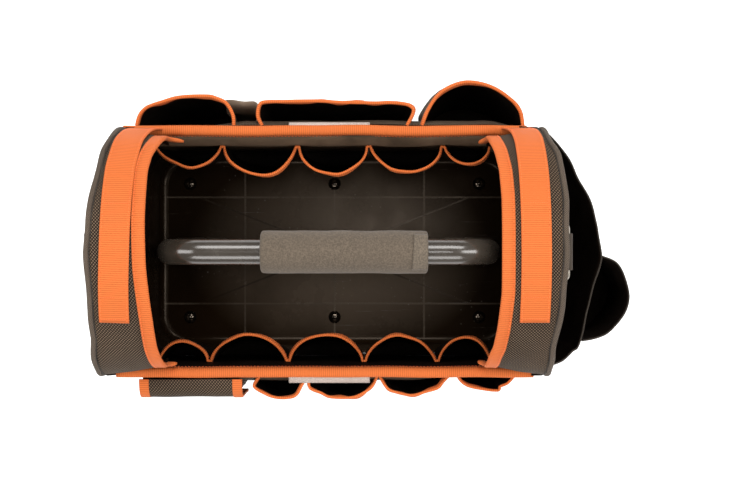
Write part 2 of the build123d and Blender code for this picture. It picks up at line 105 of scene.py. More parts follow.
FRONT_MOUTHS = {
    "front_pocket_1": [(-74, 130), (-79.5, 140), (-68, 148), (-57, 152), (-44.7, 152.5), (-35.4, 149.4),
                       (-29.3, 139), (-24.2, 130)],
    "front_pocket_2": [(-21.5, 130), (-21.5, 142), (-9.7, 147.3), (-1.5, 151.3), (11, 152.6), (25.3, 151),
                       (37.7, 145.2), (44, 140), (48.5, 130)],
    "front_pocket_3": [(51, 130), (59.5, 142.5), (70.7, 147.3), (84, 149.4), (97.5, 146.5), (111.5, 142.4),
                       (117.3, 136), (123, 130)],
    "front_pocket_4": [(132.5, 130), (137, 136), (145, 140.5), (159.4, 143.2), (174.4, 144.5), (176.6, 140.6),
                       (184.4, 137), (190.5, 130)]}
# Mouths of the two pockets on the right end, (along, how far back).
END_MOUTH = [(225, 124), (237, 111.5), (248.6, 95.4), (257.6, 77.4), (266.7, 61.5), (273.5, 43.3), (279, 23),
             (282, -1), (279.5, -16), (269, -56), (259.5, -96), (253, -104), (242, -114), (224.5, -120)]
SMALL_END_MOUTH = [(284, -5), (299, -12), (309, -28), (313.5, -48), (308, -66), (293, -84), (279, -91),
                   (264, -94)]
# Inner pockets: where the seams are, and for each pocket how far its mouth stands off, how far it leans to
# the right, and how it leaves its left and right seams (lower is steeper).
REAR_SEAMS = (-186, -114, -35, 40, 118, 169)
REAR_SCALLOPS = ((24, 0.5, (0.8, 0.75)), (33, 0.3, (0.55, 0.8)), (31, 0, (0.5, 0.5)), (29, 0, (0.7, 0.5)),
                 (21, 0.2, (0.7, 0.5)))
FRONT_SEAMS = (-183, -128, -45, 35, 112, 170)
FRONT_SCALLOPS = ((23, 0, (0.75, 0.55)), (30, 0, (0.6, 0.7)), (30, 0, (0.55, 0.55)), (28.5, 0, (0.6, 0.7)),
                  (27.5, 0, (0.6, 0.8)))
LINING_HALF_LENGTH = 206
HOOD_CLOTH_X = SEAM_X + 0.6
END_LINING_HALF = 118.5
TRAY_CORNER = 40
BAG_MIDDLE = Vector((0, 0, 150))
LININGS_Y = {1: node_box("rear_inner_pockets")[1].y, -1: node_box("front_inner_pockets")[0].y}
UP = Vector((0, 0, 1))


# ---------------------------------------------------------------- shared shapes

def between(table, value):
    """A straight-line reading from a table of (value, reading) pairs."""
    if value <= table[0][0]:
        return table[0][1]
    for (a, x), (b, y) in zip(table, table[1:]):
        if value <= b:
            return x + (y - x) * (value - a) / (b - a)
    return table[-1][1]


def clamp(value, high=1.0):
    """A value held between 0 and an upper limit."""
    return min(high, max(0.0, value))


def spread(low, high, count):
    """Evenly spaced values from low to high, with count equal steps."""
    return [low + (high - low) * k / count for k in range(count + 1)]


def skewed(place):
    """A point of the cloth at an end of the bag, moved with its slightly crooked end seam."""
    side = 1 if place.x > 0 else -1
    near_end = clamp((abs(place.x) - 175) / 48)
    clear_of_pockets = clamp((262 - abs(place.x)) / 30)
    high = clamp((place.z - 85) / 110)
    shift = between(SEAM_SHIFTS[side], place.y) * near_end * clear_of_pockets * high * high * (3 - 2 * high)
    return Vector((place.x + side * shift, place.y, place.z))


def smooth_line(points):
    """A smooth line through (x, y) points."""
    line = []
    padded = [points[0]] + points + [points[-1]]
    for a, b, c, d in zip(padded, padded[1:], padded[2:], padded[3:]):
        for t in spread(0, 1, 8)[:-1]:
            line.append(tuple(
                0.5 * (2 * b[n] + (c[n] - a[n]) * t + (2 * a[n] - 5 * b[n] + 4 * c[n] - d[n]) * t * t
                       + (3 * b[n] - a[n] - 3 * c[n] + d[n]) * t**3) for n in (0, 1)))
    line.append(points[-1])
    return line


# ---------------------------------------------------------------- mesh helpers

def add_mesh(name, points, faces, uvs, materials, closed=False):
    """A mesh object from points in millimetres, with one UV (in metres along the cloth) per point."""
    mesh = bpy.data.meshes.new(name)
    mesh.from_pydata([Vector(p) * MM for p in points], [], faces)
    if closed:
        shape = bmesh.new()
        shape.from_mesh(mesh)
        bmesh.ops.recalc_face_normals(shape, faces=shape.faces)
        shape.to_mesh(mesh)
        shape.free()
    layer = mesh.uv_layers.new(name="UVMap")
    for loop in mesh.loops:
        layer.data[loop.index].uv = uvs[loop.vertex_index]
    for polygon in mesh.polygons:
        polygon.use_smooth = True
    for material in materials:
        mesh.materials.append(material)
    obj = bpy.data.objects.new(name, mesh)
    bpy.context.scene.collection.objects.link(obj)
    return obj


def lengths(points):
    """The distance along a line of points, starting from 0."""
    total, out = 0.0, [0.0]
    for a, b in zip(points[:-1], points[1:]):
        total += (b - a).length
        out.append(total)
    return out


def grid(name, rows, materials, thickness, offset, outward):
    """A sheet through rows of points; its first material faces away from BAG_MIDDLE, or inward for -1."""
    total = 0.0
    for low, high in zip(rows[:-1], rows[1:]):
        for j in range(len(low) - 1):
            normal = (low[j + 1] - low[j]).cross(high[j] - low[j])
            total += normal.dot(low[j] - BAG_MIDDLE)
    if total * outward < 0:
        rows = [list(reversed(row)) for row in rows]
    count = len(rows[0])
    points = [p for row in rows for p in row]
    middle = lengths([row[count // 2] for row in rows])
    uvs = []
    for i, row in enumerate(rows):
        along = lengths(row)
        centre = along[count // 2]
        uvs += [((a - centre) * MM, middle[i] * MM) for a in along]
    faces = []
    for i in range(len(rows) - 1):
        for j in range(count - 1):
            a = i * count + j
            faces.append((a, a + 1, a + count + 1, a + count))
    obj = add_mesh(name, points, faces, uvs, materials)
    modifier = obj.modifiers.new("Solidify", "SOLIDIFY")
    modifier.thickness = thickness * MM
    modifier.offset = offset
    if len(materials) > 1:
        modifier.material_offset = 1
        modifier.material_offset_rim = 1
    return obj


def grid_size(rows):
    """A sheet's width, length and area, in metres."""
    width = max(lengths(row)[-1] for row in rows)
    columns = zip(*rows)
    length = max(lengths(list(column))[-1] for column in columns)
    area = 0.0
    for low, high in zip(rows[:-1], rows[1:]):
        for j in range(len(low) - 1):
            area += (low[j + 1] - low[j]).cross(high[j] - low[j]).length / 2
            area += (high[j] - high[j + 1]).cross(low[j + 1] - high[j + 1]).length / 2
    return width * MM, length * MM, area * MM * MM


def sweep(name, path, ups, profile, material, round_ends=0):
    """A closed profile carried along a path. A profile point is (across, up); ups gives the up direction.

    round_ends is the number of path points over which each end narrows to a round tip.
    """
    reach = max(a for a, _ in profile) + min(a for a, _ in profile)
    count, size = len(path), len(profile)
    along = lengths(path)
    around = [0.0]
    for a, b in zip(profile, profile[1:] + profile[:1]):
        around.append(around[-1] + math.dist(a, b))
    points, uvs, faces = [], [], []
    for i, place in enumerate(path):
        ahead, behind = path[min(i + 1, count - 1)], path[max(i - 1, 0)]
        tangent = (ahead - behind).normalized()
        up = (ups[i] - tangent * ups[i].dot(tangent)).normalized()
        across = tangent.cross(up)
        to_end = min(i, count - 1 - i)
        narrow = 1.0
        if to_end < round_ends:
            narrow = math.sqrt(1 - (1 - (to_end + 0.3) / round_ends) ** 2)
        for k, (a, b) in enumerate(profile):
            points.append(place + across * (reach / 2 + (a - reach / 2) * narrow) + up * b * narrow)
            uvs.append((around[k] * MM, along[i] * MM))
    for i in range(count - 1):
        for k in range(size):
            a, b = i * size + k, i * size + (k + 1) % size
            faces.append((a, b, b + size, a + size))
    faces.append(tuple(range(size))[::-1])
    faces.append(tuple((count - 1) * size + k for k in range(size)))
    return add_mesh(name, points, faces, uvs, [material], closed=True)


def rounded_profile(width, height, radius, up=0.0):
    """A rectangle with round corners, as profile points, with its centre raised by up."""
    points = []
    for quarter in range(4):
        sx = (1, -1, -1, 1)[quarter]
        sy = (1, 1, -1, -1)[quarter]
        for step in range(4):
            angle = math.radians(90 * quarter + 30 * step)
            x = sx * (width / 2 - radius) + radius * math.cos(angle)
            y = sy * (height / 2 - radius) + radius * math.sin(angle)
            points.append((x, up + y))
    return points


def fold_profile(width, thickness):
    """Tape folded round an edge: a round nose at across = 0 and two flat sides back to across = width."""
    half, lip = thickness / 2, 0.7
    nose = []
    for step in range(7):
        angle = math.radians(90 + 180 * step / 6)
        nose.append((half + half * math.cos(angle), half * math.sin(angle)))
    return [(width, half - lip), (width - 0.2, half)] + nose + [(width - 0.2, -half), (width, -half + lip)]


def wobble(place, scale, amount):
    """A small smooth unevenness, the same on every run."""
    return amount * noise.noise(Vector(place) / scale)


def stitch_row(name, path, ups, material, pitch=3.6, length=2.5):
    """A row of separate thread stitches lying on a seam."""
    along = lengths(path)
    total = along[-1]
    points, faces, uvs = [], [], []
    sides, radius, lift = 6, 0.32, 0.1
    where, index = pitch / 2, 0
    while where < total - pitch / 2:
        while along[index + 1] < where:
            index += 1
        share = (where - along[index]) / max(along[index + 1] - along[index], 1e-6)
        place = path[index].lerp(path[index + 1], share)
        tangent = (path[index + 1] - path[index]).normalized()
        up = ups[index].lerp(ups[index + 1], share)
        up = (up - tangent * up.dot(tangent)).normalized()
        across = tangent.cross(up)
        place = place + up * lift
        base = len(points)
        for offset, scale, sink in ((-0.5, 0.35, -0.25), (-0.22, 1, 0), (0.22, 1, 0), (0.5, 0.35, -0.25)):
            for k in range(sides):
                angle = 2 * math.pi * k / sides
                ring = across * math.cos(angle) * radius * scale + up * math.sin(angle) * radius * scale
                points.append(place + tangent * offset * length + ring + up * sink)
                uvs.append((k * 0.0003, offset * length * MM))
        for ring in range(3):
            for k in range(sides):
                a, b = base + ring * sides + k, base + ring * sides + (k + 1) % sides
                faces.append((a, b, b + sides, a + sides))
        faces.append(tuple(base + k for k in range(sides))[::-1])
        faces.append(tuple(base + 3 * sides + k for k in range(sides)))
        where += pitch
    return add_mesh(name, points, faces, uvs, [material], closed=True)


def join(name, objects):
    """Several loose meshes made into one."""
    bpy.ops.object.select_all(action="DESELECT")
    for obj in objects:
        obj.select_set(True)
    bpy.context.view_layer.objects.active = objects[0]
    bpy.ops.object.join()
    objects[0].name = name
    objects[0].data.name = name
    return objects[0]


def finish_piece(obj, body, nodes=()):
    """The body that a piece rides and the CAD nodes it stands for."""
    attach(obj, body)
    if nodes:
        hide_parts(*nodes)
    return obj


def cloth_piece(name, rows, materials, nodes=(), thickness=1.6, offset=0.0, outward=1,
                body=BAG):
    """A finished sheet of cloth, with its flat size measured along its rows."""
    sheet = grid(name, rows, materials, thickness, offset, outward)
    finish_piece(sheet, body, nodes)
    width, length, area = grid_size(rows)
    return sheet


def tape_piece(name, path, ups, profile, material, nodes=(), round_ends=0, body=BAG):
    """A finished strip of tape, webbing or cord, with its profile carried along a path."""
    return finish_piece(sweep(name, path, ups, profile, material, round_ends), body, nodes)


# ---------------------------------------------------------------- materials

class Nodes:
    """A short way to write a material's node tree."""

    def __init__(self, name, color, roughness, metallic=0.0, specular=0.5):
        self.material = bpy.data.materials.new(name)
        self.material.use_nodes = True
        self.tree = self.material.node_tree
        self.shader = self.tree.nodes["Principled BSDF"]
        self.set("Base Color", (*color, 1))
        self.set("Roughness", roughness)
        self.set("Metallic", metallic)
        self.set("Specular IOR Level", specular)

    def set(self, socket, value):
        self.shader.inputs[socket].default_value = value

    def node(self, kind, **values):
        node = self.tree.nodes.new(kind)
        for key, value in values.items():
            setattr(node, key, value)
        return node

    def link(self, source, target):
        self.tree.links.new(source, target)

    def feed(self, socket, source):
        self.link(source, self.shader.inputs[socket])

    def math(self, operation, *values):
        node = self.node("ShaderNodeMath", operation=operation)
        for index, value in enumerate(values):
            if isinstance(value, (int, float)):
                node.inputs[index].default_value = value
            else:
                self.link(value, node.inputs[index])
        return node.outputs[0]

    def times(self, a, b):
        return self.math("MULTIPLY", a, b)

    def plus(self, a, b):
        return self.math("ADD", a, b)

    def minus(self, a, b):
        return self.math("SUBTRACT", a, b)

    def larger(self, a, b):
        return self.math("MAXIMUM", a, b)

    def absolute(self, a):
        return self.math("ABSOLUTE", a)

    def sine(self, a):
        return self.math("SINE", a)

    def uv(self):
        return self.split(self.node("ShaderNodeUVMap", uv_map="UVMap").outputs[0])[:2]

    def place(self):
        return self.node("ShaderNodeTexCoord").outputs["Object"]

    def noise(self, scale, detail=3.0, roughness=0.55, vector=None):
        node = self.node("ShaderNodeTexNoise")
        node.inputs["Scale"].default_value = scale
        node.inputs["Detail"].default_value = detail
        node.inputs["Roughness"].default_value = roughness
        self.link(vector or self.place(), node.inputs["Vector"])
        return node.outputs["Fac"]

    def ramp(self, value, stops):
        node = self.node("ShaderNodeValToRGB")
        self.link(value, node.inputs[0])
        elements = node.color_ramp.elements
        while len(elements) < len(stops):
            elements.new(0.5)
        for element, (position, color) in zip(elements, stops):
            element.position = position
            element.color = (*color, 1) if len(color) == 3 else color
        return node.outputs[0]

    def span(self, value, low, high, out_low, out_high):
        node = self.node("ShaderNodeMapRange")
        self.link(value, node.inputs["Value"])
        for key, number in (("From Min", low), ("From Max", high), ("To Min", out_low), ("To Max", out_high)):
            node.inputs[key].default_value = number
        return node.outputs[0]

    def mix(self, factor, a, b, blend="MIX"):
        node = self.node("ShaderNodeMix", data_type="RGBA", blend_type=blend)
        sockets = [s for s in node.inputs if s.type == "RGBA"]
        factor_socket = node.inputs["Factor"]
        if isinstance(factor, (int, float)):
            factor_socket.default_value = factor
        else:
            self.link(factor, factor_socket)
        for value, socket in zip((a, b), sockets):
            if isinstance(value, tuple):
                socket.default_value = (*value, 1)
            else:
                self.link(value, socket)
        return [s for s in node.outputs if s.type == "RGBA"][0]

    def cells(self, scale, vector):
        node = self.node("ShaderNodeTexVoronoi")
        node.inputs["Scale"].default_value = scale
        self.link(vector, node.inputs["Vector"])
        return node.outputs["Distance"]

    def mapped(self, vector, scale, place=(0, 0, 0), turn=0.0):
        node = self.node("ShaderNodeMapping")
        node.inputs["Location"].default_value = place
        node.inputs["Rotation"].default_value = (0, 0, turn)
        node.inputs["Scale"].default_value = scale
        self.link(vector, node.inputs["Vector"])
        return node.outputs[0]

    def split(self, vector):
        node = self.node("ShaderNodeSeparateXYZ")
        self.link(vector, node.inputs[0])
        return node.outputs

    def sheen(self, weight, roughness):
        self.set("Sheen Weight", weight)
        self.set("Sheen Roughness", roughness)

    def bump(self, height, distance):
        node = self.node("ShaderNodeBump")
        node.inputs["Distance"].default_value = distance
        self.link(height, node.inputs["Height"])
        self.link(node.outputs[0], self.shader.inputs["Normal"])


def scaled(color, factor, lift=0.0):
    """A colour made lighter or darker, at most white."""
    return tuple(min(1, c * factor + lift) for c in color)


def woven(name, dark, light, pitch, sheen, roughness=0.75, depth=0.00035, fade=0.0):
    """Plain heavy weave: yarns over and under each other, with slubs and faint dust."""
    m = Nodes(name, light, roughness, specular=0.06)
    m.sheen(sheen, 0.5)
    u, v = m.uv()
    slub = m.noise(55, 2.0)
    shift = m.times(slub, 0.0006)
    pu = m.times(m.plus(u, shift), math.pi / pitch)
    pv = m.times(m.plus(v, shift), math.pi / pitch)
    pa, pb = m.plus(pu, pv), m.minus(pu, m.times(pv, 0.8))
    over = m.times(m.sine(pa), m.sine(pb))
    warp = m.absolute(m.sine(m.times(pa, 2.0)))
    weft = m.absolute(m.sine(m.times(pb, 2.0)))
    crown = m.times(m.plus(warp, weft), 0.18)
    height = m.plus(m.times(m.absolute(over), 0.8), crown)
    tone = m.span(height, 0.1, 1.0, 0.0, 1.0)
    cloth = m.ramp(tone, [(0.0, dark), (0.4, dark), (0.62, light), (1.0, scaled(light, 2.1))])
    wear = m.noise(7, 4.0)
    dusty = m.span(wear, 0.35, 0.75, 0.85 - fade, 1.15 + fade)
    combine = m.node("ShaderNodeCombineColor")
    for socket in combine.inputs:
        m.link(dusty, socket)
    m.feed("Base Color", m.mix(1.0, cloth, combine.outputs[0], "MULTIPLY"))
    m.feed("Roughness", m.span(wear, 0.3, 0.7, roughness - 0.08, roughness + 0.08))
    m.bump(height, depth)
    return m.material


def ribbed(name, color, pitch):
    """Woven tape or webbing with ribs across its width."""
    m = Nodes(name, color, 0.7, specular=0.12)
    m.sheen(0.03, 0.4)
    u, v = m.uv()
    slub = m.noise(70, 2.0)
    shifted = m.plus(v, m.times(slub, 0.0004))
    rib = m.absolute(m.sine(m.times(shifted, math.pi / pitch)))
    thread = m.absolute(m.sine(m.times(u, math.pi / (pitch * 0.55))))
    height = m.plus(m.times(rib, 0.8), m.times(thread, 0.25))
    stops = [(0.0, scaled(color, 0.5)), (0.5, color), (1.0, scaled(color, 1.06, 0.004))]
    cloth = m.ramp(m.span(height, 0.15, 0.95, 0, 1), stops)
    wear = m.noise(14, 4.0)
    m.feed("Base Color", m.mix(m.span(wear, 0.52, 0.8, 0.0, 0.45), cloth, scaled(color, 0.8, 0.01)))
    m.bump(height, 0.0003)
    return m.material


def coated(name, color, roughness=0.42, gloss=0.02):
    """The smooth coated side of the cloth: faint weave, creases and a soft gloss, with painted shade in the
    crease hollows and painted light on their ridges.
    """
    m = Nodes(name, color, roughness, specular=gloss)
    u, v = m.uv()
    pitch = 0.0013
    su = m.sine(m.times(u, math.pi / pitch))
    sv = m.sine(m.times(v, math.pi / pitch))
    weave = m.absolute(m.times(su, sv))
    crease = m.noise(28, 5.0, 0.6)
    height = m.plus(m.times(weave, 0.25), m.times(crease, 1.6))
    # Painted shade and light: the colour follows the crease height, darker in the hollows and lighter on the
    # ridges.
    m.feed("Base Color", m.ramp(crease, [(0.3, scaled(color, 0.7)), (0.7, scaled(color, 1.5))]))
    m.feed("Roughness", m.span(m.noise(12, 3.0), 0.3, 0.7, roughness - 0.08, roughness + 0.12))
    m.bump(height, 0.0006)
    return m.material


# Lines on the tray floor, in metres: straight ones across and along it, and two diagonals.
FLOOR_LINES_X = (-0.106, 0.0, 0.106)
FLOOR_LINES_Y = (-0.063, 0.063)
DIAGONAL_SLOPE = 0.394
DIAGONAL_REACH = 0.158


def moulded(name, color, roughness, gloss=0.2, sheen_pool_strength=1.0):
    """Glossy moulded plastic with scuffs, specks of dust and long hairline scratches, and a painted pale
    sheen in the middle of the floor.
    """
    m = Nodes(name, color, roughness, specular=gloss)
    m.set("Specular Tint", (1.0, 0.80, 0.62, 1.0))
    place = m.place()
    scuffs = m.noise(9, 6.0, 0.65, place)
    hair = m.noise(1.0, 3.0, 0.7, m.mapped(place, (14, 380, 60), turn=0.5))
    scratches = m.times(m.span(hair, 0.66, 0.72, 0, 1), m.span(scuffs, 0.5, 0.62, 0, 1))
    patches = m.span(m.noise(16, 3, 0.6, place), 0.52, 0.62, 0, 1)
    dust = m.times(m.span(m.cells(130, place), 0.0, 0.16, 1, 0), patches)
    # Painted sheen: a pale pool in the middle of the tray floor, its lighter colour broken up by the scuff
    # noise, stands in for the overhead light's reflection.
    far = m.node("ShaderNodeVectorMath", operation="LENGTH")
    m.link(m.mapped(place, (7.2, 10.5, 0), place=(-0.03, 0.03, 0)), far.inputs[0])
    x, y, z = m.split(place)
    on_floor = m.span(z, 0.009, 0.011, 1, 0)
    middle_sheen_pool = m.times(m.span(far.outputs["Value"], 0.1, 1.3, sheen_pool_strength, 0.0), on_floor)
    painted_sheen = m.times(m.span(scuffs, 0.3, 0.7, 0.45, 1.0), middle_sheen_pool)
    colour_with_painted_sheen = m.mix(painted_sheen, color, tuple(c * 2.0 + d for c, d in zip(color, (0.095, 0.072, 0.052))))
    # The same pool also keeps the floor's real gloss higher in the middle than at its edges.
    dull = m.times(m.minus(1.0, middle_sheen_pool), on_floor)
    polished = m.times(m.minus(1.0, on_floor), 0.12)
    shine = m.plus(m.span(dull, 0.0, 1.0, gloss, gloss * 0.12), polished)
    m.feed("Specular IOR Level", shine)
    lines = 0.0
    for source, value in [(x, at) for at in FLOOR_LINES_X] + [(y, at) for at in FLOOR_LINES_Y]:
        off = m.absolute(m.minus(source, value))
        lines = m.larger(m.span(off, 0.0005, 0.0014, 1, 0), lines)
    faint = m.times(m.times(lines, on_floor), m.span(scuffs, 0.35, 0.6, 0.2, 0.7))
    colour_with_painted_sheen = m.mix(faint, colour_with_painted_sheen, (0.10, 0.078, 0.058))
    rise = m.times(m.absolute(x), DIAGONAL_SLOPE)
    off = m.absolute(m.minus(m.absolute(y), rise))
    within = m.span(m.absolute(x), DIAGONAL_REACH - 0.002, DIAGONAL_REACH + 0.002, 1, 0)
    diagonals = m.times(m.span(off, 0.0005, 0.0015, 1, 0), within)
    colour_with_painted_sheen = m.mix(m.times(diagonals, on_floor), colour_with_painted_sheen, color)
    marked = m.mix(m.times(scratches, 0.55), colour_with_painted_sheen, (0.16, 0.145, 0.13))
    dusted = m.mix(m.times(dust, 0.5), marked, (0.2, 0.18, 0.16))
    m.feed("Base Color", dusted)
    m.feed("Roughness", m.span(scuffs, 0.35, 0.75, roughness - 0.06, roughness + 0.12))
    grain = m.noise(900, 2.0)
    height = m.plus(m.times(grain, 0.12), m.times(scratches, -0.6))
    m.bump(height, 0.00012)
    return m.material


def coated_tube(name):
    """Dark paint on a steel tube, with a clear coat and faint wear."""
    m = Nodes(name, (0.045, 0.036, 0.026), 0.2, metallic=0.2, specular=0.5)
    m.set("Coat Weight", 0.5)
    m.set("Coat Roughness", 0.14)
    place = m.place()
    peel = m.noise(220, 2.0, 0.5, place)
    wear = m.noise(18, 5.0, 0.6, place)
    m.feed("Base Color", m.ramp(wear, [(0.35, (0.028, 0.021, 0.015)), (0.7, (0.055, 0.045, 0.035))]))
    m.feed("Roughness", m.span(wear, 0.3, 0.7, 0.2, 0.34))
    m.bump(peel, 0.00006)
    return m.material


def foam(name, color):
    """Closed-cell foam with a skin of tiny speckled cells."""
    m = Nodes(name, color, 0.9, specular=0.25)
    m.set("Sheen Weight", 0.1)
    place = m.place()
    fine = m.noise(420, 4.0, 0.7, place)
    broad = m.noise(20, 3.0, 0.5, place)
    speckle = m.plus(m.times(m.cells(700, place), 0.6), m.times(fine, 0.6))
    base = m.ramp(speckle, [(0.25, scaled(color, 0.6)), (0.5, color), (0.8, scaled(color, 1.55))])
    m.feed("Base Color", m.mix(m.span(broad, 0.4, 0.75, 0, 0.4), base, scaled(color, 1.35)))
    m.bump(speckle, 0.0004)
    return m.material


def plain_fine(name, color, roughness, metallic=0.0, scale=300, depth=0.00005):
    """One colour with a fine grain and a little wear."""
    m = Nodes(name, color, roughness, metallic)
    place = m.place()
    fine = m.noise(scale, 3.0, 0.6, place)
    wear = m.noise(25, 4.0, 0.6, place)
    stops = [(0.3, scaled(color, 0.75)), (0.7, scaled(color, 1.25))]
    m.feed("Base Color", m.ramp(wear, stops))
    m.feed("Roughness", m.span(wear, 0.3, 0.7, max(0.05, roughness - 0.08), min(1, roughness + 0.1)))
    m.bump(fine, depth)
    return m.material


def pale_floor():
    """The pale ground under the bag."""
    m = Nodes("pale_floor", (0.93, 0.93, 0.93), 0.9, specular=0.1)
    m.set("Emission Color", (1, 1, 1, 1))
    m.set("Emission Strength", 0.25)
    m.feed("Base Color", m.ramp(m.noise(3, 2.0), [(0.3, (0.925,) * 3), (0.7, (0.935,) * 3)]))
    return m.material


def fastener(name, color):
    """Hook-and-loop pile."""
    m = Nodes(name, color, 0.95, specular=0.05)
    m.set("Sheen Weight", 0.03)
    fuzz = m.noise(900, 4.0, 0.8)
    m.feed("Base Color", m.ramp(fuzz, [(0.35, scaled(color, 0.4)), (0.65, scaled(color, 2))]))
    m.bump(fuzz, 0.0009)
    return m.material


WEAVE = woven("heavy_weave", (0.002, 0.0015, 0.001), (0.074, 0.051, 0.034), 0.0031, sheen=0.01, fade=0.08)
WEBBING_GREY = ribbed("grey_webbing", (0.045, 0.034, 0.025), pitch=0.0014)
PIPING_CLOTH = woven("piping_cloth", (0.012, 0.009, 0.007), (0.105, 0.080, 0.060), 0.0016, sheen=0.03)
DARK_BINDING = woven("dark_binding", (0.006, 0.005, 0.004), (0.050, 0.040, 0.032), 0.0016, sheen=0.02)
ORANGE = ribbed("orange_tape", (0.505, 0.113, 0.024), pitch=0.0021)
LINING = coated("coated_lining", (0.006, 0.004, 0.003))
# Painted light: a paler copy of the coated lining for the rear wall's inner face, for the light that face
# catches; the front wall keeps the dark lining.
LINING_LIT = coated("coated_lining_lit", (0.095, 0.064, 0.041), 0.6, 0.05)
# Painted light: a still paler copy of the coated lining for the pen sleeve's inner face, for the light that
# face catches.
SLEEVE_LINING_LIT = coated("coated_sleeve_lit", (0.115, 0.084, 0.060), 0.6, 0.05)
SHELL_BLACK = coated("coated_black", (0.0035, 0.003, 0.0025), 0.55)
TRAY_PLASTIC = moulded("moulded_tray", (0.0085, 0.0042, 0.0016), 0.26)
RIVET_PLASTIC = moulded("moulded_rivet", (0.003, 0.0022, 0.0016), 0.13, gloss=0.8, sheen_pool_strength=0.0)
TUBE_PAINT = coated_tube("tube_paint")
GRIP_FOAM = foam("grip_foam", (0.068, 0.052, 0.037))
FOAM_LAP = foam("foam_lap", (0.080, 0.063, 0.046))
FOOT_RUBBER = plain_fine("foot_rubber", (0.03, 0.03, 0.03), 0.85, depth=0.0002)
STEEL = plain_fine("plated_steel", (0.34, 0.31, 0.26), 0.36, metallic=1.0)
LABEL_CLOTH = woven("label_cloth", (0.20, 0.16, 0.14), (0.46, 0.38, 0.33), 0.0006, sheen=0.15,
                    roughness=0.5, depth=0.0001)
ORANGE_THREAD = plain_fine("orange_thread", (0.80, 0.14, 0.025), 0.6, scale=1500)
DARK_THREAD = plain_fine("dark_thread", (0.05, 0.045, 0.04), 0.6, scale=1500)
PILE = fastener("touch_fastener", (0.02, 0.02, 0.02))


# ---------------------------------------------------------------- camera, light and floor

CAMERA_PLACE = (0.036, 0.0082, 1.605)
LENS, SENSOR = 66.4, 36
FLOOR_REACH = 4000
LOW_MIDDLE = (0, 0, 0.15)
# Each light: its place, what it faces, its two sizes and its power.
LIGHTS = {
    "soft_rear": ((0.15, 1.55, 1.9), LOW_MIDDLE, (2.0, 0.9), 50),
    "soft_left": ((-1.75, 0.1, 1.7), LOW_MIDDLE, (0.9, 1.6), 31),
    "soft_right": ((1.65, 0.1, 1.9), LOW_MIDDLE, (0.8, 1.5), 34),
    "soft_front": ((-0.1, -1.65, 1.6), LOW_MIDDLE, (2.0, 0.9), 35),
    "overhead": ((0.10, 0.06, 2.3), (0.06, 0, 0), (0.34, 0.26), 3.8)}


def build_stage():
    """The camera, looking straight down, the floor, the pale surroundings and the lights."""
    camera_data = bpy.data.cameras.new("camera")
    camera_data.lens = LENS
    camera_data.sensor_width = SENSOR
    camera = bpy.data.objects.new("camera", camera_data)
    camera.location = CAMERA_PLACE
    bpy.context.scene.collection.objects.link(camera)
    bpy.context.scene.camera = camera

    uvs = [(0, 0), (1, 0), (1, 1), (0, 1)]
    corners = [((2 * u - 1) * FLOOR_REACH, (2 * v - 1) * FLOOR_REACH, 0) for u, v in uvs]
    add_mesh("floor", corners, [(0, 1, 2, 3)], uvs, [pale_floor()])

    world = bpy.data.worlds.new("studio")
    world.use_nodes = True
    world.node_tree.nodes["Background"].inputs[0].default_value = (1, 1, 1, 1)
    world.node_tree.nodes["Background"].inputs[1].default_value = 0.35
    bpy.context.scene.world = world

    for name, (place, target, size, power) in LIGHTS.items():
        data = bpy.data.lights.new(name, "AREA")
        data.shape = "RECTANGLE"
        data.size, data.size_y = size
        data.energy = power
        light = bpy.data.objects.new(name, data)
        light.location = place
        light.rotation_euler = (Vector(target) - Vector(place)).to_track_quat("-Z", "Y").to_euler()
        bpy.context.scene.collection.objects.link(light)
    bpy.context.scene.view_settings.view_transform = "Standard"


# ---------------------------------------------------------------- CAD parts that stay

def dress_cad_parts():
    """Materials for the hard parts, which are shown as they come from the frame."""
    looks = {
        TRAY_PLASTIC: ["base_tray", "left_leg_socket", "right_leg_socket"],
        RIVET_PLASTIC: ["foot_rivets"],
        FOOT_RUBBER: ["feet"],
        TUBE_PAINT: ["handle_tube"],
        STEEL: ["socket_screws", "left_ring", "right_ring"],
    }
    for material, nodes in looks.items():
        for node in nodes:
            obj = frame["nodes"][node]
            for slot in obj.material_slots:
                slot.material = material
            if not obj.material_slots:
                obj.data.materials.append(material)


# ---------------------------------------------------------------- walls

def arch_point(angle, half_width, rise):
    """A point of the arch in the YZ plane: angle 0 is at the front rim, 180 at the rear rim."""
    turn = math.radians(angle)
    return -half_width * math.cos(turn), SPRING_Z + rise * math.sin(turn)


def arch_normal(angle, half_width, rise):
    """The outward direction at a point of the arch."""
    turn = math.radians(angle)
    return Vector((0, -math.cos(turn) / half_width, math.sin(turn) / rise)).normalized()


def hem(wall, path):
    """The black band along the bottom of a wall."""
    profile = rounded_profile(3.4, 9, 1.2)
    tape_piece(wall + "_hem", path, [-UP] * len(path), profile, SHELL_BLACK)


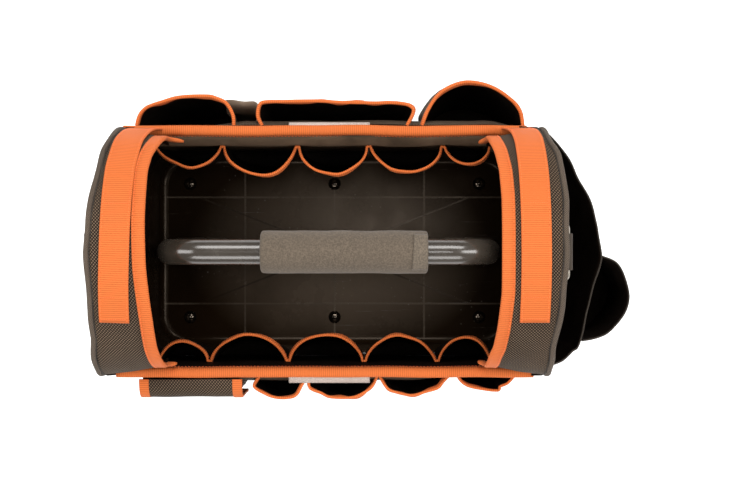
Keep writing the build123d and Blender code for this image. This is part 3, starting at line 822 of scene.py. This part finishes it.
def side_wall(side, name, node):
    """The woven front or rear wall, wrapped round the corners to the piping."""
    corner = 3
    edge_x = SEAM_X + 0.5
    tape_low, tape_high = node_box("rear_rim_tape" if side > 0 else "front_rim_tape")
    columns = []
    for turn in spread(0, math.pi / 2, 6):
        columns.append((-edge_x + corner * (1 - math.cos(turn)), corner * (1 - math.sin(turn))))
    columns += [(x, 0.0) for x in spread(corner - edge_x, edge_x - corner, 44)[1:-1]]
    columns += [(-x, back) for x, back in reversed(columns[:7])]
    rows = []
    # The wall leans out under its rim, up to here along the bag.
    lean_high, most_lean = (190, 9.0) if side > 0 else (120, 7.0)
    for share in spread(0, 1, 24):
        row = []
        for x, back in columns:
            past_tape = clamp(max(x - tape_high.x + 6, tape_low.x + 6 - x) / 5)
            top = RIM_LOW.z + (SPRING_Z + 3 - RIM_LOW.z) * past_tape
            z = WALL_BOTTOM - 1 + (top + 1 - WALL_BOTTOM) * share
            belly = 1.6 * math.sin(math.pi * share) * (1 - (x / edge_x) ** 4)
            middle = clamp((x + 150) / 60) * clamp((lean_high + 25 - x) / 50)
            lean = most_lean * middle * math.exp(-((share - 0.9) / 0.11) ** 2)
            y = WALL_Y - 0.6 - back + belly + lean + wobble((x, z, side * 50), 38, 0.9)
            row.append(skewed(Vector((x, side * y, z))))
        rows.append(row if side < 0 else list(reversed(row)))
    cloth_piece(name, rows, [WEAVE, LINING], [node], 2.4, -1)
    hem(name, [Vector((p.x, p.y + side * 0.6, p.z + 4)) for p in rows[0]])


def end_wall(side, name, node):
    """The tombstone-shaped end wall, slightly domed."""
    half_width = ARCH_HALF_WIDTH - 2.6
    rise = ARCH_RISE - 3
    levels = spread(WALL_BOTTOM - 1, SPRING_Z, 9)
    levels += [SPRING_Z + rise * math.sin(turn) for turn in spread(0, math.pi / 2, 12)[1:]]
    rows = []
    for z in levels:
        above = max(0.0, z - SPRING_Z) / rise
        reach = max(2.0, half_width * math.sqrt(max(0.0, 1 - above**2)))
        low = (z - WALL_BOTTOM) / (SPRING_Z + rise - WALL_BOTTOM)
        row = []
        for y in spread(-reach, reach, 24):
            dome = 3.0 * math.sin(math.pi * low) * (1 - (y / half_width) ** 2)
            x = SEAM_X - 1.2 + dome + wobble((side * 90, y, z), 45, 0.9)
            row.append(skewed(Vector((side * x, y, z))))
        rows.append(row if side > 0 else list(reversed(row)))
    cloth_piece(name, rows, [WEAVE, LINING], [node], 2.6, -1)
    hem(name, [p + Vector((side * 0.6, 0, 4)) for p in rows[0]])


def edge_at(side, angle):
    """How far out a hood's open edge is at an angle of the arch."""
    return between(HOOD_EDGES[side], arch_point(angle, ARCH_HALF_WIDTH, ARCH_RISE)[0])


def hood_surface(side, x, angle):
    """A point on the outside of a hood's cloth, which sags a little between its seams."""
    y, z = arch_point(angle, ARCH_HALF_WIDTH - 0.4, ARCH_RISE - 0.4)
    start = between(HOOD_EDGES[side], y) + 3
    share = clamp((x - start) / (HOOD_CLOTH_X - start))
    free = min(1.0, share * 1.6)
    crown = 0.9 * math.sin(math.pi * share) * math.sin(math.radians(angle)) ** 0.5
    sag = wobble((side * x, y, z), 30, 1.1) * math.sin(math.pi * share) * free
    roll = 2.6 * max(0.0, (x - HOOD_CLOTH_X + 3.5) / 3.5) ** 2
    low = max(0.0, 1 - math.sin(math.radians(angle)) * 1.7)
    y *= 1 - 0.13 * low**1.3 * (1 - share) ** 1.5
    up = arch_normal(angle, ARCH_HALF_WIDTH, ARCH_RISE)
    return skewed(Vector((side * x, y, z)) + up * (crown + sag - 0.8 - roll))


def end_lining(side, name):
    """The black inner skin of an end wall, closing down onto the top of the tray."""
    outer = TRAY_HIGH.x + 1.3
    rows = []
    for step in (0.0, 0.5, 1.0):
        row = []
        for y in spread(-END_LINING_HALF, END_LINING_HALF, 24):
            into_corner = clamp(abs(y) - (TRAY_HIGH.y - TRAY_CORNER), TRAY_CORNER)
            cut = TRAY_CORNER - math.sqrt(TRAY_CORNER**2 - into_corner**2)
            inner = TRAY_HIGH.x - 1.8 - cut
            x = inner + (outer - inner) * step
            row.append(Vector((side * x, y, TRAY_HIGH.z + 1 + 2 * step)))
        rows.append(row)
    for k in range(1, 22):
        share = k / 21
        z = TRAY_HIGH.z + 4 + (SPRING_Z + ARCH_RISE - 12 - TRAY_HIGH.z - 4) * share
        rise = max(0.0, z - SPRING_Z) / (ARCH_RISE - 4)
        reach = END_LINING_HALF * math.sqrt(max(0.02, 1 - rise**2))
        row = []
        for y in spread(-reach, reach, 24):
            fold = wobble((side * 60, y, z), 30, 1.4) * math.sin(math.pi * share)
            x = outer + 5.5 * min(1, share * 2.5) + fold
            row.append(skewed(Vector((side * x, y, z))))
        rows.append(row)
    cloth_piece(name, rows, [LINING, LINING],
                thickness=1.2, outward=-1)


def hood(side, name, node):
    """The arched roof strip over one end, from the bound edge to the piped seam."""
    rows = []
    for angle in spread(0, 180, 72):
        start = edge_at(side, angle) + 3
        rows.append([hood_surface(side, x, angle) for x in spread(start, HOOD_CLOTH_X, 20)])
    end = name.split("_")[0]
    cloth_piece(name, rows, [WEAVE, LINING], [node], 1.5, -1)


def hood_tape_path(side):
    """Along the hood's open edge, then down inside the rim and round into a short tongue at each end."""
    path, ups = [], []
    first = 14
    for angle in spread(first, 180 - first, 80):
        x = edge_at(side, angle)
        path.append(hood_surface(side, x, angle) + Vector((0, 0, 0.5)))
        ups.append(arch_normal(angle, ARCH_HALF_WIDTH, ARCH_RISE))
    for end, front in ((0, -1), (-1, 1)):
        start = path[end]
        tip_x, tip_y = TONGUE_TIPS[side, front]
        tip = Vector((side * tip_x, tip_y, RIM_Z + 9))
        bend = Vector((start.x, start.y + 0.15 * (tip.y - start.y), RIM_Z + 10))
        tail, tail_ups = [], []
        for k in range(1, 10):
            t = k / 9
            tail.append(start * (1 - t) ** 2 + bend * (2 * t * (1 - t)) + tip * t**2)
            tail_ups.append(Vector((0, front, 0.25 * (1 - t))))
        if end == 0:
            path, ups = tail[::-1] + path, tail_ups[::-1] + ups
        else:
            path, ups = path + tail, ups + tail_ups
    return path, ups


def hood_tape(side, name, node):
    """Orange tape on the open edge of a hood, with its row of stitches."""
    path, ups = hood_tape_path(side)
    profile = [(side * a, b) for a, b in fold_profile(12.8, 4.4)]
    tape_piece(name, path, ups, profile, ORANGE, [node], round_ends=3)
    row = [p + Vector((side * 11.2, 0, 0)) + up * 2.25 for p, up in zip(path, ups)]
    stitches = stitch_row(name + "_stitches", row[10:-10], ups[10:-10], ORANGE_THREAD)
    finish_piece(stitches, BAG)


def strap(side, name, node):
    """Orange webbing over the hood: sewn down at its front end and at the rear rim."""
    width = STRAP_HIGH.x - STRAP_LOW.x
    path, ups = [], []
    first = math.degrees(math.acos(-(STRAP_LOW.y + 3) / ARCH_HALF_WIDTH))
    for angle in spread(first, 180, 60):
        centre = between(STRAP_LINES[side], angle)
        up = arch_normal(angle, ARCH_HALF_WIDTH, ARCH_RISE)
        lift = 1.9 + 2.4 * max(0.0, (angle - 150) / 30) ** 2
        path.append(hood_surface(side, max(centre, 196), angle) + up * lift)
        path[-1].x = side * centre
        ups.append(up)
    for k in range(1, 4):
        path.append(path[60] + Vector((0, 0, -3.2 * k)))
        ups.append(Vector((0, 1, 0)))
    tape_piece(name, path, ups, rounded_profile(width, 1.9, 0.8), ORANGE, [node])
    rows = []
    for offset in (-width / 2 + 2, width / 2 - 2):
        row = [p + Vector((offset, 0, 0)) + up * 0.95 for p, up in zip(path, ups)]
        rows.append(stitch_row(name + "_edge", row, ups, ORANGE_THREAD))
    for share in (0.02, 0.10, 0.42, 0.84):
        index = int(share * (len(path) - 1))
        start, up = path[index], ups[index]
        bar = [start + Vector((offset, 0, 0)) + up * 0.95 for offset in (-width / 2 + 2, width / 2 - 2)]
        rows.append(stitch_row(name + "_bar", bar, [up, up], ORANGE_THREAD, pitch=2.2, length=1.9))
    finish_piece(join(name + "_stitches", rows), BAG)


def piping(side, name, node):
    """The piped seam: a round cord in cloth with a row of stitches beside it."""
    path, ups = [], []
    half_width, rise = ARCH_HALF_WIDTH - 2.2, ARCH_RISE - 2.2
    x = (PIPING_LOW.x + PIPING_HIGH.x) / 2 - 0.2
    for k in range(14):
        path.append(Vector((side * x, -half_width, WALL_BOTTOM + 4 + (SPRING_Z - WALL_BOTTOM - 4) * k / 14)))
        ups.append(Vector((0, -1, 0)))
    for k in range(61):
        y, z = arch_point(3 * k, half_width, rise)
        path.append(Vector((side * (x + 0.5 * math.sin(k * 0.7)), y, z)))
        ups.append(arch_normal(3 * k, half_width, rise))
    for k in range(1, 15):
        path.append(Vector((side * x, half_width, SPRING_Z - (SPRING_Z - WALL_BOTTOM - 4) * k / 14)))
        ups.append(Vector((0, 1, 0)))
    path = [skewed(p) for p in path]
    circle = [(2.7 * math.cos(math.radians(30 * k)), 2.7 * math.sin(math.radians(30 * k))) for k in range(12)]
    tape_piece(name, path, ups, circle, PIPING_CLOTH, [node])
    row = [p - Vector((side * 3.3, 0, 0)) + up * 0.6 for p, up in zip(path, ups)]
    stitches = stitch_row(name + "_stitches", row, ups, DARK_THREAD, pitch=3.2, length=2.2)
    finish_piece(stitches, BAG)


def rim_tape(side, name, node):
    """Orange tape folded over the top edge of the front or rear wall."""
    low, high = node_box(node)
    path, ups = [], []
    centre_y = side * (abs(low.y) + abs(high.y)) / 2
    for x in spread(low.x, high.x, 64):
        y = centre_y + wobble((x, side * 70, 0), 60, 1.2)
        path.append(Vector((x, y, high.z - 0.3 + wobble((x, side * 70, 9), 70, 0.8))))
        ups.append(UP)
    depth = high.z - low.z + 3
    half = (high.y - low.y) / 2
    profile = []
    for angle in spread(0, math.pi, 8):
        profile.append((half * math.cos(angle), -4 + 4 * math.sin(angle)))
    profile += [(-half, -depth), (-half + 1, -depth - 0.3), (half - 1, -depth - 0.3), (half, -depth)]
    tape_piece(name, path, ups, profile, ORANGE, [node])
    rows = []
    for face in (-1, 1):
        row = [p + Vector((0, face * (half + 0.05), -depth + 2.2)) for p in path]
        rows.append(stitch_row(name + "_row", row, [Vector((0, face, 0))] * len(row), ORANGE_THREAD))
    finish_piece(join(name + "_stitches", rows), BAG)


def lining_sheet(side, name, node):
    """The padded lining inside the front or rear wall, from under the rim tape down to the tray."""
    top = node_box(node)[1].z + 3
    top_y = abs(RIM_LOW.y + RIM_HIGH.y) / 2 - 3.5
    wall_y = abs(LININGS_Y[side])
    rows = []
    for z in spread(TRAY_HIGH.z - 4, top, 14):
        lean = clamp((z - 188) / (top - 188))
        row = []
        for x in spread(-LINING_HALF_LENGTH, LINING_HALF_LENGTH, 60):
            y = wall_y + (top_y - wall_y) * lean**1.2 + wobble((x, side * 33, z), 40, 1.0)
            row.append(Vector((x, side * y, z)))
        rows.append(row)
    # Painted light: the rear wall's inner face gets the paler copy of the lining, the front gets the dark
    # lining.
    facing = LINING_LIT if side > 0 else LINING
    cloth_piece(name, rows, [facing, LINING], [node],
                thickness=1.6, offset=-1, outward=-1)


# ---------------------------------------------------------------- pockets

def scallop(x_low, x_high, wall_y, bulge, lean, steep):
    """The mouth line of one inner pocket, (x, y) from seam to seam; steep says how it leaves each seam."""
    side = math.copysign(1, wall_y)
    gap = 1.9
    line = []
    for turn in spread(0, math.pi, 22):
        share = 0.5 - 0.5 * math.cos(turn)
        curve = (1 - abs(2 * share - 1) ** 1.9) ** (steep[0] + (steep[1] - steep[0]) * share)
        x = x_low + gap + (x_high - x_low - 2 * gap) * (share + lean * 0.12 * math.sin(math.pi * share))
        line.append((x, wall_y - side * (1.4 + bulge * curve)))
    return line


FLOOR_SHARES = (0, 0.34, 0.67, 1)


def pocket_floor(name, rim, axis, wall, lift, shares, materials, thickness):
    """The bottom of a pocket, from the lowest row of its cloth back to the bag's wall along an axis."""
    rows = []
    for share in shares:
        row = [p + UP * lift for p in rim]
        for p in row:
            p[axis] += (wall - p[axis]) * share
        rows.append(row)
    cloth_piece(name + "_bottom", rows, materials, thickness=thickness)


def inner_pockets(side, name, node, tape_node, seams, scallops):
    """One long strip of cloth sewn down at its seams so that it stands off as pockets, with a bound edge."""
    top = node_box(tape_node)[1].z
    bottom = node_box(node)[0].z
    wall_y = LININGS_Y[side]
    mouth = []
    for x_low, x_high, (bulge, lean, steep) in zip(seams[:-1], seams[1:], scallops):
        mouth += scallop(x_low, x_high, wall_y, bulge - 2.2, lean, steep)
    rows = []
    for share in spread(0, 1, 10):
        row = []
        for x, y in mouth:
            depth = abs(abs(wall_y) - abs(y))
            slack = depth * (1 - 0.42 * share**1.5)
            ripple = wobble((x, side * 10, share * 60), 18, 1.6) * min(1.0, depth / 12)
            z = top - 1.5 - (top - 1.5 - bottom) * share
            row.append(Vector((x, side * (abs(wall_y) - slack - ripple), z)))
        rows.append(row if side < 0 else list(reversed(row)))
    cloth_piece(name, rows, [LINING, LINING], [node], 1.5)
    path = [Vector((p.x, p.y, top - 0.3 + 1.5 * min(1, abs(abs(wall_y) - abs(p.y)) / 20))) for p in rows[0]]
    profile = rounded_profile(2.7, 7.5, 1.1, up=-3.2)
    ups = []
    for p in path:
        tip = 0.12 + wobble((p.x, 9, 0), 31, 0.5)
        ups.append(Vector((wobble((p.x, 40, 0), 23, 0.35), side * tip, 1)))
    tape_piece(name + "_tape", path, ups, profile, ORANGE, [tape_node])
    pocket_floor(name, rows[-1], 1, wall_y, 1, (0, 0.5, 1), [LINING, LINING], 1.2)
    rows = []
    for x in seams:
        seam = [Vector((x, wall_y - side * 3.6, z)) for z in (bottom + 4, (top + bottom) / 2, top - 10)]
        rows.append(stitch_row(name + "_seam", seam, [Vector((0, -side, 0))] * 3, DARK_THREAD))
    finish_piece(join(name + "_stitches", rows), BAG)


def pocket_outline(x_low, x_high, back, front, corner):
    """Plan line of an outer pocket, out from the wall, across and back: (x, distance from middle)."""
    corner = min(corner, front - back - 1, (x_high - x_low) / 2 - 1)
    line = [(x_low, back), (x_low, (back + front - corner) / 2)]
    turns = spread(0, math.pi / 2, 7)
    for turn in turns:
        line.append((x_low + corner * (1 - math.cos(turn)), front - corner * (1 - math.sin(turn))))
    line += [(x, front) for x in spread(x_low + corner, x_high - corner, 8)[1:-1]]
    for turn in turns:
        line.append((x_high - corner * (1 - math.sin(turn)), front - corner * (1 - math.cos(turn))))
    line += [(x_high, (back + front - corner) / 2), (x_high, back)]
    return line


def outer_pocket(name, side, outline, top, bottom, taper, inner=None, tape=0.0, belly=(0, 0), slump=0.0):
    """An open pocket: a wall of cloth along an outline, its bottom, and a binding on the mouth.

    belly moves the cloth below the mouth along and outward; slump lets it fall inward just under the mouth.
    """
    back = min(distance for _, distance in outline)
    middle = sum(x for x, _ in outline) / len(outline)
    rows = []
    for share in spread(0, 1, 14):
        row = []
        for x, distance in outline:
            out = distance - back
            stand = min(1.0, out / 12)
            swell = math.sin(math.pi * min(1.0, share * 1.4)) * stand
            fold = wobble((x, side * 200, share * 70), 24, 0.4 + 2.2 * min(1, share * 2)) * stand
            fallen = slump * min(1.0, share * 9)
            slack = out * (1 - taper * share**1.4 - fallen) + fold
            along = middle + (x - middle) * (1 - 0.05 * share) + belly[0] * swell * (x < middle)
            z = top - 1 - (top - 1 - bottom) * share
            row.append(Vector((along, side * (back + slack + belly[1] * swell), z)))
        rows.append(row)
    wall = cloth_piece(name, rows, [WEAVE, inner or LINING],
                       thickness=1.7, offset=-0.2)
    pocket_floor(name, rows[-1], 1, side * back, 0.8, FLOOR_SHARES, [WEAVE, LINING], 1.4)
    if not tape:
        return wall, None
    path = [p + UP * 0.8 for p in rows[0]]
    ups = [Vector((wobble((p.x, 3, 0), 19, 0.5), side * wobble((p.x, 8, 0), 21, 0.7), 1)) for p in path]
    profile = rounded_profile(tape, 7, tape * 0.42, up=-2.9)
    return wall, tape_piece(name + "_tape", path, ups, profile, ORANGE)


def frame_outline(node, corner):
    """An outer pocket's outline from its CAD node's box."""
    low, high = node_box(node)
    distances = sorted((abs(low.y), abs(high.y)))
    return pocket_outline(low.x, high.x, distances[0], distances[1], corner), low.z, high.z


def build_outer_pockets():
    """The three rear pockets, the pen sleeve and the four small front pockets."""
    rear = (("rear_left_pocket", REAR_LEFT_MOUTH, (0, 0)), ("rear_centre_pocket", REAR_CENTRE_MOUTH, (0, 0)),
            ("rear_right_pocket", REAR_RIGHT_MOUTH, (-7, 2)))
    top = node_box("rear_pocket_tapes")[1].z
    for node, mouth, belly in rear:
        bottom = node_box(node)[0].z
        wall, binding = outer_pocket(
            node + "_cloth", 1, smooth_line(mouth), top, bottom, 0.35, tape=3.6, belly=belly)
        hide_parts(node)
        if node == "rear_left_pocket":
            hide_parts("rear_pocket_tapes")
    low, high = node_box("pen_sleeve")
    # The pen sleeve's inner face uses the paler, painted-light copy of the lining.
    wall, _ = outer_pocket("pen_sleeve_cloth", 1, smooth_line(REAR_SLEEVE_MOUTH), high.z, low.z, 0.2,
                           inner=SLEEVE_LINING_LIT, slump=0.37)
    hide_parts("pen_sleeve")
    top = node_box("front_pocket_tapes")[1].z
    for node, mouth in FRONT_MOUTHS.items():
        bottom = node_box(node)[0].z
        wall, binding = outer_pocket(node + "_cloth", -1, smooth_line(mouth), top, bottom, 0.3, tape=2.8)
        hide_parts(node)
        if node == "front_pocket_1":
            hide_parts("front_pocket_tapes")


def end_pocket(name, node, tape_node, points, taper):
    """An open black pocket on the right end wall: its cloth, its bottom and a thin binding on its mouth."""
    bottom = node_box(node)[0].z
    top = node_box(tape_node)[1].z
    back = min(x for x, _ in points)
    outline = smooth_line(points)
    rows = []
    for share in spread(0, 1, 10):
        row = []
        for x, y in outline:
            out = x - back
            slack = out * (1 - taper * share**1.3) + wobble((x, y, share * 90), 30, 2.0) * min(1, out / 12)
            row.append(Vector((back + slack, y * (1 - 0.04 * share), top - 1 - (top - 1 - bottom) * share)))
        rows.append(list(reversed(row)))
    materials = [SHELL_BLACK, LINING]
    cloth_piece(name, rows, materials, [node], 1.7, -0.2)
    pocket_floor(name, rows[-1], 0, back, 0.8, FLOOR_SHARES, materials, 1.4)
    path = [p + UP * 0.8 for p in rows[0]]
    profile = rounded_profile(1.7, 4, 0.7, up=-1.4)
    tape_piece(name + "_binding", path, [UP] * len(path), profile, DARK_BINDING, [tape_node])


# ---------------------------------------------------------------- flap, tabs, labels and grip

def flap_line():
    """The flap from the side: (y, z) from its hinge over the pocket and down."""
    low = node_box("flap")[0]
    hinge = JOINTS["flap_hinge"]
    hinge_y, hinge_z = hinge["pos_m"][1] / MM, hinge["pos_m"][2] / MM
    front_y = low.y + 3.5
    bend_z = hinge_z - 20
    line = []
    for turn in spread(0, math.pi / 2, 18):
        y = hinge_y + (front_y - hinge_y) * math.sin(turn) ** 0.9
        z = bend_z + (hinge_z - bend_z) * math.cos(turn) ** 0.75
        line.append((y, z))
    line += [(front_y, z) for z in spread(bend_z, low.z + 1, 12)[1:]]
    return line


def fastener_pad(name, node, body, y):
    """One half of the touch fastener, at a given depth."""
    low, high = node_box(node)
    path = [Vector((x, y, (low.z + high.z) / 2)) for x in spread(low.x, high.x, 12)]
    profile = rounded_profile(1.1, high.z - low.z, 0.5)
    tape_piece(name, path, [UP] * 13, profile, PILE, [node], body=body)


def flap():
    """The front-left flap with its binding and fastener, and the pocket under it."""
    low, high = node_box("flap_tapes")
    line = flap_line()
    rows = []
    for y, z in line:
        row = []
        for x in spread(low.x + 4, high.x - 4, 24):
            row.append(Vector((x, y + wobble((x, y, z), 30, 0.5), z + wobble((x, z, y), 30, 0.5))))
        rows.append(row)
    cloth_piece("flap_cloth", rows, [WEAVE, LINING],
                ["flap"], body="flap")
    tapes = []
    for edge, inward in ((low.x, 1), (high.x, -1)):
        path, ups = [], []
        for index, (y, z) in enumerate(line):
            before, after = line[max(index - 1, 0)], line[min(index + 1, len(line) - 1)]
            tangent = Vector((0, after[0] - before[0], after[1] - before[1])).normalized()
            path.append(Vector((edge + inward * 5.3, y, z)))
            ups.append(Vector((0, tangent.z, -tangent.y)) * -1)
        tapes.append(sweep("flap_side_tape", path, ups, rounded_profile(10.4, 3.0, 1.3), ORANGE))
    y, z = line[-1]
    path = [Vector((x, y, z + 4)) for x in spread(low.x, high.x, 20)]
    tapes.append(sweep("flap_end_tape", path, [-UP] * 21, rounded_profile(3.2, 9, 1.4), ORANGE))
    finish_piece(join("flap_binding", tapes), "flap", ["flap_tapes"])
    fastener_pad("flap_hook_pad", "flap_hook_strip", "flap", y + 1.7)
    loop_low, loop_high = node_box("pocket_loop_strip")
    fastener_pad("pocket_loop_pad", "pocket_loop_strip", BAG, (loop_low.y + loop_high.y) / 2)
    outline, bottom, top = frame_outline("flap_pocket", 9)
    wall, _ = outer_pocket("front_left_pocket_cloth", -1, outline, top, bottom, 0.0)
    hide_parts("flap_pocket")


def label(side, name, node):
    """A blank woven tag, sewn in under the rim tape and leaning out."""
    low, high = node_box(node)
    near, far = (high.y + 5, low.y + 2.5) if side < 0 else (low.y - 7, high.y - 5)
    rows = []
    for share in spread(0, 1, 6):
        y = near + (far - near) * share
        z = high.z - (high.z - low.z) * share**1.3
        row = []
        for k, x in enumerate(spread(low.x, high.x, 20)):
            row.append(Vector((x, y, z + wobble((k * 9, y, side), 22, 0.8))))
        rows.append(row)
    cloth_piece(name, rows, [LABEL_CLOTH], [node], thickness=0.8)


def ring_tab(side, name, node):
    """Grey webbing folded round the ring's bar and sewn flat to the end wall."""
    low, high = node_box(node)
    joint = JOINTS[name.split("_")[0] + "_ring_swing"]
    bar_x, bar_z = abs(joint["pos_m"][0]) / MM, joint["pos_m"][2] / MM
    wall_x = SEAM_X + 1.5
    radius = 4.4
    line = [(wall_x, high.z), (wall_x + 0.6, high.z - 4), (wall_x + 2.4, bar_z + 8)]
    line.append((bar_x - 3, bar_z + radius + 1.2))
    for k in range(9):
        turn = math.radians(90 - 22.5 * k)
        line.append((bar_x + radius * math.cos(turn), bar_z + radius * math.sin(turn)))
    line += [(bar_x - 3, bar_z - radius - 1.5), (wall_x + 2.4, bar_z - 10)]
    line += [(wall_x + 2.0, low.z + 20), (wall_x + 2.0, low.z)]
    path = [Vector((side * x, 0, z)) for x, z in line]
    ups = []
    for index in range(len(line)):
        before, after = line[max(index - 1, 0)], line[min(index + 1, len(line) - 1)]
        dx, dz = after[0] - before[0], after[1] - before[1]
        size = math.hypot(dx, dz)
        ups.append(Vector((side * -dz / size, 0, dx / size)))
    width = high.y - low.y
    tape_piece(name, path, ups, rounded_profile(width, 1.7, 0.7), WEBBING_GREY, [node])


def foam_grip():
    """The foam sleeve, a closed ring with rounded ends and small dents, and the lap at its right end."""
    radius = (GRIP_HIGH.y - GRIP_LOW.y) / 2
    bore = 12.6
    centre_z = (GRIP_HIGH.z + GRIP_LOW.z) / 2
    length = GRIP_HIGH.x - GRIP_LOW.x
    rings = [(0.0, bore), (0.0, radius - 3.2), (0.7, radius - 1.2), (2.2, radius - 0.2)]
    rings += [(2.2 + (length - 4.4) * k / 30, radius) for k in range(1, 30)]
    rings += [(length - along, reach) for along, reach in rings[3::-1]]
    count = 48
    points, faces, uvs = [], [], []
    for along, reach in rings:
        for k in range(count):
            turn = 2 * math.pi * k / count
            place = (GRIP_LOW.x + along, reach * math.cos(turn), reach * math.sin(turn))
            dent = wobble(place, 26, 0.7) if reach > radius - 2 else 0
            grow = reach + dent - 0.3 * (reach > radius - 2)
            points.append((place[0], grow * math.cos(turn), centre_z + grow * math.sin(turn)))
            uvs.append((turn * radius * MM, along * MM))
    for i in range(len(rings)):
        for k in range(count):
            a, b = i * count + k, i * count + (k + 1) % count
            c, d = ((i + 1) % len(rings)) * count + (k + 1) % count, ((i + 1) % len(rings)) * count + k
            faces.append((a, d, c, b))
    grip = add_mesh("foam_grip_sleeve", points, faces, uvs, [GRIP_FOAM])
    finish_piece(grip, BAG, ["foam_grip"])
    foam_lap(radius, centre_z)


def foam_lap(radius, centre_z):
    """The loose lap of foam over the right end of the grip; its free edge is a little crooked."""
    start, length = GRIP_HIGH.x - 14.5, 13.9
    half_turn = math.radians(52)
    rows = []
    for share in spread(0, 1, 8):
        along = start + length * share
        row = []
        for turn in spread(-half_turn, half_turn, 20):
            reach = radius + 0.5 + wobble((along, 40 * turn, 5), 15, 0.3)
            crooked = along + 1.2 * math.sin(turn) * (1 - share)
            row.append(Vector((crooked, reach * math.sin(turn), centre_z + reach * math.cos(turn))))
        rows.append(row)
    cloth_piece("foam_grip_lap", rows, [FOAM_LAP],
                thickness=1.4)


# ---------------------------------------------------------------- the whole bag

def build_bag():
    """Every soft piece, from the walls inward and then the pockets, the flap, the labels and the grip."""
    for side, end in ((-1, "left"), (1, "right")):
        end_wall(side, end + "_end_wall", end + "_end_panel")
        end_lining(side, end + "_end_lining")
        hood(side, end + "_hood_cloth", end + "_hood")
        hood_tape(side, end + "_hood_binding", end + "_hood_tape")
        strap(side, end + "_strap_webbing", end + "_strap")
        piping(side, end + "_seam_piping", end + "_piping")
        ring_tab(side, end + "_ring_webbing", end + "_ring_tab")
    side_wall(-1, "front_wall", "front_panel")
    side_wall(1, "rear_wall", "rear_panel")
    lining_sheet(1, "rear_inner_lining", "rear_lining")
    lining_sheet(-1, "front_inner_lining", "front_lining")
    rim_tape(-1, "front_rim_binding", "front_rim_tape")
    rim_tape(1, "rear_rim_binding", "rear_rim_tape")
    for side, end, seams, scallops in ((1, "rear", REAR_SEAMS, REAR_SCALLOPS),
                                       (-1, "front", FRONT_SEAMS, FRONT_SCALLOPS)):
        strip = end + "_inner_pocket"
        inner_pockets(side, strip + "s_strip", strip + "s", strip + "_tapes", seams, scallops)
    build_outer_pockets()
    end_pocket("end_pocket_cloth", "end_pocket", "end_pocket_tape", END_MOUTH, 0.25)
    end_pocket("small_end_pocket_cloth", "small_end_pocket", "small_end_pocket_tape", SMALL_END_MOUTH, 0.1)
    flap()
    label(-1, "front_tag", "front_label")
    label(1, "rear_tag", "rear_label")
    foam_grip()


build_stage()
dress_cad_parts()
build_bag()
